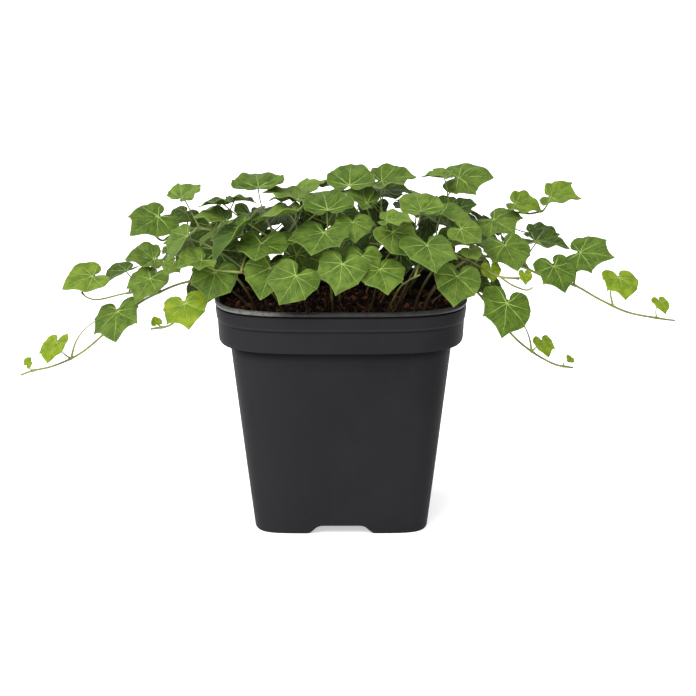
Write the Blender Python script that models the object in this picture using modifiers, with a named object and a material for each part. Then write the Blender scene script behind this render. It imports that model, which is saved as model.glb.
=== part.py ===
"""Potted english ivy: a square nursery pot, its potting mix and rooted ivy vines.

Metres, +Z up. The origin is the middle of the pot's base on the surface it stands on, +X is to the
viewer's right and the viewer stands at -Y. Each vine is one solid: stem, side shoots, petioles and
lobed leaves.
"""

import math
import random

import bpy
import bmesh
from mathutils import Euler, Vector, noise
from mathutils.bvhtree import BVHTree

MM = 0.001

# The pot: half widths, heights and how square each level is (the exponent of a superellipse)
POT_HEIGHT = 139.1 * MM
WALL = 1.6 * MM
BASE_HALF = 53.0 * MM
BODY_TOP_HALF = 66.8 * MM
SKIRT_HALF = 73.8 * MM
STEP_HALF = 75.1 * MM
LIP_HALF = 76.2 * MM
SKIRT_BOTTOM = 115.7 * MM
STEP_HEIGHT = 129.2 * MM
BASE_SQUARE = 7.0
BODY_SQUARE = 5.0
RIM_SQUARE = 3.7
POT_SIDES = 36
FLOOR_TOP = 7.0 * MM
FOOT_HEIGHT = 5.3 * MM
NOTCH_BOTTOM = 39.0 * MM
NOTCH_TOP = 25.0 * MM
DRAIN_RADIUS = 4.5 * MM
DRAIN_OFFSET = 32.0 * MM

# The potting mix
SOIL_TOP = 127.0 * MM
SOIL_GAP = 0.4 * MM
SOIL_LUMP = 1.6 * MM
SOIL_SIDES = POT_SIDES
HOLE_DEPTH = 12.0 * MM
HOLE_GAP = 0.35 * MM

# The ivy
BLADE_THICK = 0.7 * MM
PETIOLE_RADIUS = 0.62 * MM
PETIOLE_END = 0.5
PETIOLE_SIDES = 3
STEM_SIDES = 5
RUNNER_RADIUS = 1.0 * MM
CROWN_RADIUS = 1.2 * MM
CLEAR = 0.45 * MM
MOST_LEAVES = 11
LONGEST_REACH = 65 * MM
BACK_LEAVES = 44
GAP_LEAVES = 26
LEAST_GAP = 8
SEED = 7

# How often a root and a leaf are tried again, how many vines a leaf may try, and how many of the
# nearest places on a stem its petiole may start from
ROOT_TRIES = 12
LEAF_TRIES = 30
HOMES_TRIED = 5
NEAR_STARTS = 9

# A petiole is longer than this share of its leaf, has a bend more from LONG_PETIOLE on, and is thinner
# on a leaf shorter than SMALL_LEAF
LEAST_PETIOLE = 0.35
LONG_PETIOLE = 32 * MM
SMALL_LEAF = 9 * MM
SEEN_PETIOLE_STEPS = 4

# Half of a leaf's outline with the joint of its petiole at (0, 0) and its tip at (0, 1)
HALF_LEAF = [(0.14, -0.30), (0.42, -0.40), (0.69, -0.15), (0.72, 0.22), (0.61, 0.50)]
LEAF_WIDTH = 1.46
MIDRIB_CREST = 0.34
WAVE = 0.03
LOPSIDED = 0.05
UNEVEN = 0.04
POINTS_APART = math.radians(48)

# How a leaf is curved: the rise of its midrib, the droop of the lobes' points, how far the basal lobes
# reach back, how far they bend up and how the halves roll up, for one that faces the viewer, for one
# that is turned aside and folded along its midrib, and for one that lies on the crown.
# A leaf turned by less than FOLD_TURN degrees is folded in part, and one with its face at FLAT_RISE
# degrees or more over the horizon is taken as lying
FACING = {"arch": 0.16, "droop": 0.035, "base": 1.0, "cup": -0.10, "roll": -0.17}
FOLDED = {"arch": 0.10, "droop": 0.03, "base": 1.0, "cup": -0.05, "roll": 0.30}
LYING = {"arch": 0.26, "droop": 0.07, "base": 0.68, "cup": 0.25, "roll": 0.22}
FOLD_TURN = 40
FLAT_RISE = 60

# A facing leaf that is seen shorter than this share of its length has its basal lobes bent up towards
# the viewer, the more the shorter it is seen
CUP_FROM = 0.75
CUP_GAIN = 2.0

# The ways in which a petiole may bend on its way to a leaf: aside and up, as shares of its length
SWINGS = [(0, 0), (0, -0.18), (0.2, 0), (-0.2, 0), (0, 0.15), (0.3, -0.15), (-0.3, -0.15), (0.4, 0),
          (-0.4, 0), (0.2, 0.2), (-0.2, 0.2)]

# How far a leaf may move along its line of sight to clear the others, in millimetres, in turn
PUSHES = [0, 1, 2, 3, 4, -2, 6, 8, -4, 10, 12, 14, 18, 22, 27, 32, 38]

# The viewer, who saw the plant in a square picture of 696 by 696 points
VIEW_DISTANCE = 1.0
VIEW_HEIGHT = 0.333
VIEW_TILT = math.radians(12.97)
VIEW_TURN = -0.0043
VIEW_FOCAL = 1657.45
VIEW_MIDDLE = 348.0

# The dome of leaves as an ellipsoid over the pot
DOME_MIDDLE = Vector((0, 0, 140 * MM))
DOME_SIZE = Vector((160 * MM, 80 * MM, 75 * MM))

# The crown in the picture, where hardly any light shows through: its middle, half its size, and the
# step at which it is searched for gaps
CROWN_SPOT = (350, 242)
CROWN_REACH = (155, 56)
GAP_STEP = 4

# Spots in the crown where the picture shows the open background
WINDOWS = [(260, 206), (250, 204), (268, 205), (233, 220), (276, 226), (289, 203), (300, 202), (300, 216),
           (318, 191), (328, 188), (340, 190), (343, 197), (357, 206), (385, 199), (376, 203), (394, 203),
           (408, 213), (410, 184), (425, 185), (481, 215), (445, 229), (384, 244), (376, 250), (461, 247),
           (473, 248), (508, 269), (541, 249), (282, 248)]


def sight(spot):
    """The direction in which a point of the picture was seen, as a step of 1 in Y."""
    across = (spot[0] - VIEW_MIDDLE) / VIEW_FOCAL
    up = (VIEW_MIDDLE - spot[1]) / VIEW_FOCAL
    ahead = math.cos(VIEW_TILT) + up * math.sin(VIEW_TILT)
    rise = up * math.cos(VIEW_TILT) - math.sin(VIEW_TILT)
    x = across * math.cos(VIEW_TURN) - ahead * math.sin(VIEW_TURN)
    y = across * math.sin(VIEW_TURN) + ahead * math.cos(VIEW_TURN)
    return Vector((x / y, 1, rise / y))


def seen_at(spot, depth):
    """The place at that depth (Y) which was seen at a point of the picture."""
    return Vector((0, -VIEW_DISTANCE, VIEW_HEIGHT)) + sight(spot) * (VIEW_DISTANCE + depth)


def dome_depth(spot):
    """Where a line of sight meets the dome of leaves, or comes nearest to it."""
    start = seen_at(spot, 0) - DOME_MIDDLE
    step = sight(spot)
    a = sum((step[i] / DOME_SIZE[i]) ** 2 for i in range(3))
    b = sum(start[i] * step[i] / DOME_SIZE[i] ** 2 for i in range(3))
    c = sum((start[i] / DOME_SIZE[i]) ** 2 for i in range(3)) - 1
    return (-b - math.sqrt(max(b * b - a * c, 0))) / a


# Runners: root on the soil in millimetres, then the points seen in the picture with their depth
RUNNERS = {
    "vine_left_low": {
        "root": (-44, -14),
        "seen": [(236, 268, -24), (214, 272.5, -24), (190, 281, -24), (177, 284.7, -23), (160, 292, -22),
                 (136.5, 305, -19), (105, 333, -14), (86.5, 349, -10), (71, 358.6, -7), (51, 366.7, -4),
                 (33, 370.6, -2), (20.7, 375, 0)],
    },
    "vine_left_front": {
        "root": (-50, -36),
        "seen": [(228, 271, -56), (208, 281, -58), (190, 303, -58), (172, 324, -56), (150.7, 329, -55)],
    },
    "vine_right_low": {
        "root": (48, -34),
        "seen": [(452, 272, -44), (466, 280, -43), (477.7, 292.6, -42), (489.6, 306, -40), (512, 334.7, -36),
                 (531.7, 351.5, -33), (554, 364, -30), (573, 367.7, -28)],
    },
    "vine_right": {
        "root": (50, -6),
        "seen": [(470, 258, -22), (500, 259, -22), (523, 266.7, -23), (543, 275.8, -24), (573.8, 285, -25),
                 (599, 299, -25), (627, 312, -25), (656.6, 318, -25), (675, 320.6, -25)],
    },
    "vine_right_upper": {
        "root": (38, 22),
        "seen": [(462, 236, 12), (487, 221, 12), (512.5, 212.7, 10), (529.5, 213.6, 8), (543, 211, 6)],
    },
    "vine_right_shoot": {
        "root": (44, -17),
        "seen": [(446, 256, -31), (468, 261, -36), (482.6, 268.5, -43), (499.5, 276.5, -48), (519, 278.6, -49)],
    },
    "vine_left_upper": {
        "root": (-38, 24),
        "seen": [(226, 236, 14), (200, 228, 14), (172.5, 235, 12), (163, 240.5, 12), (156, 236, 13),
                 (154, 228, 14)],
    },
}

# Side shoots that leave a runner: the runner, then points seen in the picture with their depth
SIDE_SHOOTS = [
    ("vine_left_low", [(160, 292, -22), (129, 292.8, -24), (99.8, 299.4, -22), (88, 297.8, -20.5),
                       (82, 293, -19.5)]),
    ("vine_right_shoot", [(499.5, 276.5, -48), (512, 285, -50), (526, 290, -51), (533, 287.5, -51)]),
]

# Runners that trail behind, where the picture doesn't show them: root and points, all in millimetres.
# They stay within the depth that the front leaves reach on the viewer's side
BACK_RUNNERS = {
    "vine_back_left": [(-26, 52), (-42, 68, 158), (-62, 76, 160), (-84, 76, 156), (-104, 72, 150),
                       (-122, 68, 145)],
    "vine_back_middle": [(2, 56), (6, 72, 154), (13, 82, 150), (24, 84, 132), (34, 84, 112), (38, 83, 94)],
    "vine_back_right": [(34, 50), (52, 66, 158), (72, 74, 160), (92, 72, 157), (112, 66, 151)],
}
BACK_REACH = 87.0 * MM

# The leaves seen in the picture: vine or None, joint, tip, width in millimetres, how far the face looks
# up and how far it is turned to the right in degrees, how far behind the dome it is in millimetres, and
# whether the tip points away
SEEN_LEAVES = [
    ("vine_left_low", (27, 364), (31, 357), 5, 30, 0, 0, False),
    ("vine_left_low", (56.4, 342.2), (47.2, 363.2), 22, 25, -14, 2, False),
    ("vine_left_low", (117.5, 311.5), (115.5, 342.2), 32, 25, -6, -5, False),
    ("vine_left_low", (92.5, 276.5), (62, 289.5), 27, 33, -20, 4, False),
    ("vine_left_low", (127, 270), (104, 282.5), 17, 50, -45, 14, False),
    ("vine_left_low", (153.7, 259), (124.7, 259.6), 25, 60, 0, 10, False),
    ("vine_left_low", (150.5, 278), (135.5, 303.6), 27, 35, -16, -3, False),
    ("vine_left_front", (184.5, 303.5), (189, 330), 26, 30, 4, -7, False),
    ("vine_left_front", (156.5, 323.5), (154, 316), 3.5, 30, 35, -1, True),
    ("vine_left_upper", (158, 217), (129.6, 235.5), 32, 45, 0, 0, False),
    ("vine_left_upper", (182, 198), (200.5, 184), 24, 82, 0, 0, True),
    ("vine_left_upper", (186, 212), (175, 224), 18, 40, 0, 14, False),
    (None, (224, 220.5), (193, 217), 24, 80, 0, 0, False),
    (None, (225, 204), (197, 206.5), 22, 95, 0, 2, False),
    (None, (233, 200.5), (257, 202.5), 20, 95, 0, 22, False),
    (None, (187, 236), (167.5, 261), 20, 40, -52, 0, False),
    (None, (174, 262), (166, 275), 14, 40, 0, 20, False),
    (None, (202, 260.5), (177, 268), 24, 64, 0, -5, False),
    (None, (242, 228), (211.5, 261.5), 24, 40, -68, 0, False),
    (None, (262, 243.5), (255, 260), 31, 30, -3, 0, False),
    (None, (258, 188), (255, 173.5), 32, 74, 0, 0, True),
    (None, (303, 194.5), (325, 180.5), 19, 80, 0, 14, True),
    (None, (298, 199.5), (262, 192), 26, 84, 0, 4, True),
    (None, (292, 213.5), (251, 225.5), 28, 95, 0, 0, False),
    (None, (327, 210.5), (322, 191), 30, 72, 0, 0, True),
    (None, (323.5, 232.5), (311, 255.5), 32, 48, -10, 0, False),
    (None, (290, 236), (280, 243), 13, 50, 0, 10, False),
    (None, (353, 222), (355, 243), 22, 45, 0, -4, False),
    (None, (215.4, 272), (207.6, 303), 26, 25, 0, 0, False),
    (None, (270.5, 268), (260, 300), 22, 25, 0, -2, False),
    (None, (296.5, 276), (279, 304.9), 25, 25, 0, -6, False),
    (None, (342.6, 264.4), (335.7, 295.8), 25, 25, 0, -4, False),
    (None, (380, 269.5), (388, 295), 27, 30, 10, 0, False),
    (None, (363, 256), (364, 283), 17, 30, 0, 6, False),
    (None, (427, 245), (436, 273), 31, 42, 8, 0, False),
    ("vine_right_low", (457.4, 276.2), (453.6, 307.2), 27, 25, 0, -12, False),
    (None, (386, 221), (413, 221), 18, 76, 0, -3, False),
    (None, (393, 232), (415, 257), 28, 50, 20, -1, False),
    (None, (349, 185.5), (351, 163.5), 29, 74, 0, 0, True),
    (None, (382, 181), (417, 176.5), 27, 72, 0, 2, True),
    (None, (367, 203), (340, 190), 26, 76, 0, 6, True),
    (None, (384, 190), (413, 192.5), 22, 74, 0, 14, False),
    (None, (421, 211), (414, 191.5), 26, 68, 0, 0, True),
    (None, (440, 214), (475, 224), 28, 84, 0, 4, False),
    (None, (458, 177.5), (494, 178), 28, 58, 0, 0, False),
    (None, (446, 177.5), (420.5, 176.3), 18, 86, 0, 3, True),
    (None, (447, 207), (434, 198), 16, 60, 0, 14, True),
    (None, (459, 209), (477, 204), 16, 60, 0, 14, True),
    ("vine_right_upper", (493, 220), (515, 234), 29, 32, 0, -14, False),
    ("vine_right", (505, 245), (518, 271), 29, 35, 0, -4, False),
    (None, (455, 230), (474, 246), 24, 50, 0, 12, False),
    (None, (461, 229), (482, 242), 20, 50, 0, 4, False),
    (None, (470, 250), (478, 260), 13, 45, 0, 14, False),
    ("vine_right", (491, 268), (493, 282.5), 10, 30, 10, -14, False),
    ("vine_right_low", (490, 283.5), (490.5, 299), 13, 30, 0, 8, False),
    ("vine_right_low", (507.5, 303), (502, 338.5), 27, 22, 9, -6, False),
    ("vine_right_low", (542.5, 341.7), (549, 357.2), 11, 30, 20, -2, False),
    ("vine_right_low", (570, 361), (567, 354), 3.2, 30, 30, 0, True),
    ("vine_right", (619, 278), (626, 300), 23, 32, -4, -2, False),
    ("vine_right", (660, 301.5), (666, 314.4), 9, 30, 12, -1, False),
    ("vine_right", (554, 266), (565.5, 293), 24, 30, 5, -6, False),
    ("vine_right", (580.5, 252.5), (615, 257.5), 24, 44, 0, 8, False),
    ("vine_right", (535, 241), (570, 248.8), 22, 80, 0, 14, False),
    ("vine_right_upper", (532, 233), (558, 234.5), 20, 74, 0, 20, False),
    ("vine_right_upper", (515, 204), (541.5, 210.5), 23, 64, 0, -4, False),
    ("vine_right_upper", (550.5, 197), (582, 198.5), 24, 64, 0, 0, False),
    ("vine_right_shoot", (524.8, 274), (526, 285), 6, 20, 20, -1, False),
]

# Where petioles of the picture were seen to leave their stem and to bend, by the joint of their leaf.
# The last value is how far the bend lies behind the joint in millimetres
SEEN_PETIOLES = {
    (27, 364): ((33, 370.6), (29, 369), 2),
    (56.4, 342.2): ((71, 358.6), (62, 354), 4),
    (117.5, 311.5): ((71, 358.6), (76, 322), 12),
    (92.5, 276.5): ((82, 293), (85, 286), 6),
    (507.5, 303): ((531.7, 351.5), (530, 325), 9),
    (542.5, 341.7): ((537, 354), (536, 347), 3),
    (570, 361): ((564, 366), (563, 360), 2),
    (532, 233): ((500, 217), (512, 232), 6),
    (182, 198): ((200, 228), (192, 213), 5),
    (619, 278): ((613, 305), (606, 284), 6),
    (660, 301.5): ((656.6, 318), (654, 306), 3),
    (554, 266): ((543, 275.8), (541, 260), 7),
    (158, 217): ((172.5, 233.7), (160, 230), 6),
}

draw = random.Random(SEED)
placed = []


def remember(kind, vine, shape):
    """Keeps a shape's surface as something that later leaves have to clear."""
    points, faces = shape
    tree = BVHTree.FromPolygons(points, faces, all_triangles=False)
    low = Vector([min(p[i] for p in points) for i in range(3)])
    high = Vector([max(p[i] for p in points) for i in range(3)])
    placed.append((kind, vine, low, high, tree))


def clears(kind, vine, shape):
    """True if a shape crosses nothing but what it grows from."""
    points, faces = shape
    low = [min(p[i] for p in points) for i in range(3)]
    high = [max(p[i] for p in points) for i in range(3)]
    tree = None
    for other, owner, other_low, other_high, other_tree in placed:
        if any(low[i] > other_high[i] or high[i] < other_low[i] for i in range(3)):
            continue
        if kind == "petiole" and owner == vine and other in ("stem", "petiole"):
            continue
        if kind == "stem" and owner == vine:
            continue
        tree = tree or BVHTree.FromPolygons(points, faces, all_triangles=False)
        if tree.overlap(other_tree):
            return False
    return True


def tube_shape(path, radius, sides=6):
    """A closed tube round a path, as points and faces, for the test of what it crosses."""
    points, faces = [], []
    for i, spot in enumerate(path):
        ahead = (path[min(i + 1, len(path) - 1)] - path[max(i - 1, 0)]).normalized()
        side = ahead.cross(Vector((0.31, 0.17, 0.93))).normalized()
        other = ahead.cross(side)
        for k in range(sides):
            angle = 2 * math.pi * k / sides
            points.append(spot + (side * math.cos(angle) + other * math.sin(angle)) * radius)
    for i in range(len(path) - 1):
        for k in range(sides):
            a, b = i * sides + k, i * sides + (k + 1) % sides
            faces.append((a, b, b + sides, a + sides))
    faces.append(tuple(range(sides)))
    faces.append(tuple(range(len(points) - sides, len(points))))
    return points, faces


class Leaf:
    """A leaf blade: its joint, its tip, the way its face looks, its own wave and how it is curved."""

    def __init__(self, joint, tip, look, phase, curved=FACING):
        self.joint = joint
        self.length = (tip - joint).length
        self.along = (tip - joint).normalized()
        self.face = (look - self.along * look.dot(self.along)).normalized()
        self.side = self.along.cross(self.face)
        self.phase = phase
        self.curved = curved
        self.stalk = None

    def point(self, x, y):
        """A point of the blade: x across and y along, both in leaf lengths."""
        angle = math.atan2(x, y + 0.05)
        aside = min(abs(x) * 4, 1)
        waver = math.sin(2 * angle + 3 * self.phase) + 0.7 * math.sin(5 * angle + self.phase)
        own = 1 + UNEVEN * aside * waver
        x *= own * (1 + LOPSIDED * math.sin(5 * self.phase) * math.copysign(1, x))
        y *= own * (self.curved["base"] if y < 0 else 1)
        reach = math.hypot(x, y)
        lift = self.curved["arch"] * max(y, 0) * (1 - y) + 0.05 * abs(x) + self.curved["roll"] * x * x
        lift += self.curved["cup"] * max(-y, 0)
        lift -= self.curved["droop"] * reach * math.cos(2 * math.pi * angle / POINTS_APART) * aside
        lift += WAVE * reach * math.sin(3 * angle + self.phase) * aside
        return self.joint + (self.side * x + self.along * y + self.face * lift) * self.length

    def blade(self):
        """The open surface of the blade: triangles that fan out from the crest of its midrib."""
        outline = [(0, 0)] + HALF_LEAF + [(0, 1)] + [(-x, y) for x, y in reversed(HALF_LEAF)]
        points = [self.point(x, y) for x, y in outline + [(0, MIDRIB_CREST)]]
        count = len(outline)
        return points, [(count, (i + 1) % count, i) for i in range(count)]

    def shape(self, half):
        """The blade as a closed shape that reaches half to both sides of its surface."""
        points, faces = self.blade()
        count = len(points)
        edge = count - 1
        rim = [(i, (i + 1) % edge, (i + 1) % edge + count, i + count) for i in range(edge)]
        back = [tuple(i + count for i in reversed(face)) for face in faces]
        both = [p + self.face * half for p in points] + [p - self.face * half for p in points]
        return both, faces + back + rim


def leaf_seen(joint_spot, tip_spot, depth, width, up, turned, away, phase):
    """A leaf from where its joint and tip were seen. Its real length tells how far the tip leans."""
    joint = seen_at(joint_spot, depth)
    flat = seen_at(tip_spot, depth) - joint
    length = max(width * MM / LEAF_WIDTH, flat.length * 1.001)
    step = sight(tip_spot)
    a, b, c = step.dot(step), step.dot(flat), flat.dot(flat) - length * length
    root = math.sqrt(max(b * b - a * c, 0))
    lean = (-b + root) / a if away else (-b - root) / a
    tip = joint + flat + step * lean
    turn = math.radians(150) * joint.x + math.radians(turned)
    rise = math.radians(up)
    look = Vector((math.sin(turn) * math.cos(rise), -math.cos(turn) * math.cos(rise), math.sin(rise)))
    if away or up >= FLAT_RISE:
        return Leaf(joint, tip, look, phase, LYING)
    share = min(1, abs(turned) / FOLD_TURN)
    curved = {name: FACING[name] + share * (FOLDED[name] - FACING[name]) for name in FACING}
    curved["cup"] += CUP_GAIN * max(0, CUP_FROM - flat.length / length)
    return Leaf(joint, tip, look, phase, curved)


def smooth(points, steps):
    """A smooth path through points, with that many steps between each pair."""
    path = []
    ends = [points[0] * 2 - points[1]] + list(points) + [points[-1] * 2 - points[-2]]
    for i in range(1, len(ends) - 2):
        p, q, r, s = ends[i - 1:i + 3]
        for k in range(steps):
            t = k / steps
            path.append(0.5 * (q * 2 + (r - p) * t + (p * 2 - q * 5 + r * 4 - s) * t ** 2
                               + (q * 3 - p - r * 3 + s) * t ** 3))
    path.append(points[-1])
    return path


def bow(start, bend, end, steps):
    """A path that leaves start and reaches end, pulled towards bend."""
    shares = [k / steps for k in range(steps + 1)]
    return [start.lerp(bend, t).lerp(bend.lerp(end, t), t) for t in shares]


class Vine:
    """A rooted vine: its stems, and the leaves that grow from them."""

    def __init__(self, name, radius):
        self.name = name
        self.radius = radius
        self.stems = []
        self.petioles = []
        self.leaves = []

    def grow(self, path):
        self.stems.append(path)
        remember("stem", self.name, tube_shape(path, self.radius))

    def nearest(self, spot):
        """Places on the stems from which a petiole could reach a spot, the nearest first."""
        found = []
        for path in self.stems:
            for a, b in zip(path[1:], path[2:] + [None]):
                found.append(a)
                if b is not None:
                    found.append(a.lerp(b, 0.5))
        high = [p for p in found if p.z > SOIL_TOP + 6 * MM or max(abs(p.x), abs(p.y)) > LIP_HALF]
        return sorted(high or found, key=lambda p: (p - spot).length)

    def petiole_to(self, leaf, start, swing):
        """The path of a petiole, which reaches the joint from below and behind the blade."""
        end = leaf.joint + leaf.along * 0.06 * leaf.length
        aside, up = swing
        if leaf.stalk:
            bend = leaf.stalk[1] + (leaf.side * aside + Vector((0, 0, up))) * leaf.length
            return bow(start, bend, end, SEEN_PETIOLE_STEPS)
        reach = (end - start).length
        arrive = (leaf.along * 0.45 + leaf.face * 0.85).normalized()
        bend = end - arrive * reach * 0.42 + (leaf.side * aside + Vector((0, 0, up))) * reach
        return bow(start, bend, end, 3 if reach > LONG_PETIOLE else 2)

    def take(self, leaf):
        """Grows a leaf on the vine if its petiole can come to it clear of all else."""
        wished = leaf.stalk[0] if leaf.stalk else leaf.joint
        starts = [p for p in self.nearest(wished)
                  if LEAST_PETIOLE * leaf.length < (p - leaf.joint).length < LONGEST_REACH]
        for start in starts[:NEAR_STARTS:2]:
            for swing in SWINGS:
                path = self.petiole_to(leaf, start, swing)
                if clears("petiole", self.name, tube_shape(path, self.petiole_radius(leaf) + CLEAR)):
                    self.keep(leaf, path)
                    return True
        return False

    def petiole_radius(self, leaf):
        return PETIOLE_RADIUS if leaf.length > SMALL_LEAF else 0.72 * PETIOLE_RADIUS

    def keep(self, leaf, path):
        self.leaves.append(leaf)
        self.petioles.append((path, self.petiole_radius(leaf)))
        remember("petiole", self.name, tube_shape(path, self.petiole_radius(leaf)))
        remember("blade", self.name, leaf.shape(BLADE_THICK / 2))


def ring(half, square, z, count):
    """A rounded square, as the points of a superellipse."""
    points = []
    for k in range(count):
        angle = 2 * math.pi * (k + 0.5) / count
        c, s = math.cos(angle), math.sin(angle)
        points.append(Vector((half * math.copysign(abs(c) ** (2 / square), c),
                              half * math.copysign(abs(s) ** (2 / square), s), z)))
    return points


def loft(rings):
    """The points and faces of a closed body through rings, from the lower outside to its last ring."""
    count = len(rings[0])
    points = [p for level in rings for p in level]
    faces = [tuple(reversed(range(count)))]
    for i in range(len(rings) - 1):
        for k in range(count):
            a, b = i * count + k, i * count + (k + 1) % count
            faces.append((a, b, b + count, a + count))
    faces.append(tuple(range(len(points) - count, len(points))))
    return points, faces


def pot_rings():
    """The pot's wall from the outer edge of its base, over the lip, to the inner floor."""
    body, rim, n = BODY_SQUARE, RIM_SQUARE, POT_SIDES
    return [
        ring(BASE_HALF - 0.8 * MM, BASE_SQUARE, 0, n),
        ring(BASE_HALF, BASE_SQUARE, 1.0 * MM, n),
        ring(BODY_TOP_HALF, body, SKIRT_BOTTOM, n),
        ring(SKIRT_HALF, rim, SKIRT_BOTTOM, n),
        ring(SKIRT_HALF + 0.9 * MM, rim, STEP_HEIGHT, n),
        ring(STEP_HALF, rim, STEP_HEIGHT + 0.5 * MM, n),
        ring(LIP_HALF, rim, POT_HEIGHT - 1.0 * MM, n),
        ring(LIP_HALF - 0.7 * MM, rim, POT_HEIGHT, n),
        ring(LIP_HALF - WALL - 0.3 * MM, rim, POT_HEIGHT - 0.3 * MM, n),
        ring(inner_rim(STEP_HEIGHT), rim, STEP_HEIGHT, n),
        ring(inner_rim(SKIRT_BOTTOM), rim, SKIRT_BOTTOM + WALL, n),
        ring(BODY_TOP_HALF - WALL, body, SKIRT_BOTTOM + WALL, n),
        ring(BASE_HALF + 0.7 * MM - WALL, BASE_SQUARE, FLOOR_TOP, n),
    ]


def inner_rim(z):
    """Half the inner width of the rim at a height."""
    share = (z - SKIRT_BOTTOM) / (POT_HEIGHT - SKIRT_BOTTOM)
    return SKIRT_HALF - WALL + share * (LIP_HALF - SKIRT_HALF)


def soil_height(x, y):
    """The lumpy top of the mix, a little higher at the back left."""
    lump = noise.noise(Vector((x, y, 0)) * 55) + 0.6 * noise.noise(Vector((x, y, 0.3)) * 120)
    return SOIL_TOP + SOIL_LUMP * lump - 0.018 * x


def soil_rings():
    n = SOIL_SIDES
    edge = inner_rim(SOIL_TOP) - SOIL_GAP
    rings = [
        ring(BASE_HALF + 0.7 * MM - WALL - SOIL_GAP, BASE_SQUARE, FLOOR_TOP + SOIL_GAP, n),
        ring(BODY_TOP_HALF - WALL - SOIL_GAP, BODY_SQUARE, SKIRT_BOTTOM + WALL + SOIL_GAP, n),
        ring(inner_rim(SKIRT_BOTTOM) - SOIL_GAP, RIM_SQUARE, SKIRT_BOTTOM + WALL + SOIL_GAP, n),
    ]
    for share, square in ((1.0, RIM_SQUARE), (0.76, 3.2), (0.45, 2.6), (0.12, 2.0)):
        level = ring(edge * share, square, 0, n)
        rings.append([Vector((p.x, p.y, soil_height(p.x, p.y))) for p in level])
    flat = sum(p.z for p in rings[-1]) / n
    rings[-1] = [Vector((p.x, p.y, flat)) for p in rings[-1]]
    return rings


def crown_vines():
    """Short vines in rows over the soil. Each leans out from the middle, the further out it is rooted."""
    rows = {44: (-46, -16, 16, 46), 16: (-56, -28, 0, 28, 56), -14: (-20, 12, 34), -48: (-28, -1, 22)}
    for y, columns in rows.items():
        for x in columns:
            for _ in range(ROOT_TRIES):
                root = Vector((x + draw.uniform(-5, 5), y + draw.uniform(-5, 5), 0)) * MM
                path = crown_path(root)
                if clears("stem", "new", tube_shape(path, CROWN_RADIUS + CLEAR)):
                    vine = Vine(f"vine_crown_{len(vines) + 1:02d}", CROWN_RADIUS)
                    vine.grow(path)
                    vines.append(vine)
                    break


def crown_path(root):
    start = Vector((root.x, root.y, soil_height(root.x, root.y) - HOLE_DEPTH + 0.5 * MM))
    out = Vector((root.x * 0.9, root.y * 0.62, 0))
    centre = 1 - min((root.x / 0.075) ** 2 + (root.y / 0.075) ** 2, 1)
    top = Vector((root.x, root.y, (154 + 20 * centre) * MM)) + out
    neck = Vector((root.x, root.y, start.z + HOLE_DEPTH + 6 * MM)) + out * 0.12
    middle = neck.lerp(top, 0.5) + Vector((0, 0, 5 * MM)) - out * 0.06
    return [start, Vector((root.x, root.y, start.z + HOLE_DEPTH))] + smooth([neck, middle, top], 2)


def runner_path(root, points):
    x, y = root[0] * MM, root[1] * MM
    start = Vector((x, y, soil_height(x, y) - HOLE_DEPTH + 0.5 * MM))
    surface = Vector((x, y, start.z + HOLE_DEPTH))
    first = points[0]
    neck = surface.lerp(first, 0.3) + Vector((0, 0, 7 * MM))
    return [start, surface] + smooth([neck] + points, 1)


def grow_runners():
    for name, runner in RUNNERS.items():
        vine = Vine(name, RUNNER_RADIUS)
        vine.grow(runner_path(runner["root"], [seen_at(spot[:2], spot[2] * MM) for spot in runner["seen"]]))
        vines.append(vine)
    for name, points in BACK_RUNNERS.items():
        vine = Vine(name, RUNNER_RADIUS)
        vine.grow(runner_path(points[0], [Vector(p) * MM for p in points[1:]]))
        vines.append(vine)
    for name, points in SIDE_SHOOTS:
        vine = next(v for v in vines if v.name == name)
        vine.grow([seen_at(spot[:2], spot[2] * MM) for spot in points])


def stem_depth(vine, spot):
    """The depth of a vine's stem where it was seen nearest to a spot."""
    best = None
    for path in vine.stems:
        for p in path[2:]:
            seen = (p.x, p.z)
            want = seen_at(spot, p.y)
            gap = math.hypot(want.x - seen[0], want.z - seen[1])
            if best is None or gap < best[0]:
                best = (gap, p.y)
    return best[1]


def away_from(vine, leaf):
    """How far a leaf's joint is from the nearest place on a vine that could carry it."""
    return (vine.nearest(leaf.joint)[0] - leaf.joint).length


def leaf_home(leaf, own):
    """The vines that could carry a leaf, the nearest and emptiest first."""
    if own:
        return [v for v in vines if v.name == own]
    free = [v for v in vines if len(v.leaves) < MOST_LEAVES and "crown" in v.name]
    return sorted(free, key=lambda v: away_from(v, leaf) + len(v.leaves) * MM)[:HOMES_TRIED + 1]


def grow_seen_leaves():
    """Places the leaves of the picture. What would cross moves along its line of sight."""
    waiting = []
    for row in SEEN_LEAVES:
        own = row[0]
        vine = next((v for v in vines if v.name == own), None)
        depth = (stem_depth(vine, row[1]) if vine else dome_depth(row[1])) + row[6] * MM
        waiting.append((depth, row, draw.uniform(0, 6.28)))
    waiting.sort(key=lambda entry: entry[0])
    for depth, (own, joint, tip, width, up, turned, _, away), phase in waiting:
        any(settle(own, joint, tip, depth + push * MM, width, up, turned, away, phase) for push in PUSHES)


def settle(own, joint, tip, depth, width, up, turned, away, phase):
    leaf = leaf_seen(joint, tip, depth, width, up, turned, away, phase)
    if joint in SEEN_PETIOLES:
        start, bend, behind = SEEN_PETIOLES[joint]
        vine = next(v for v in vines if v.name == own)
        leaf.stalk = (seen_at(start, stem_depth(vine, start)), seen_at(bend, depth + behind * MM))
    if not clears("blade", own, leaf.shape(BLADE_THICK / 2 + CLEAR)):
        return False
    return any(vine.take(leaf) for vine in leaf_home(leaf, own))


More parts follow.
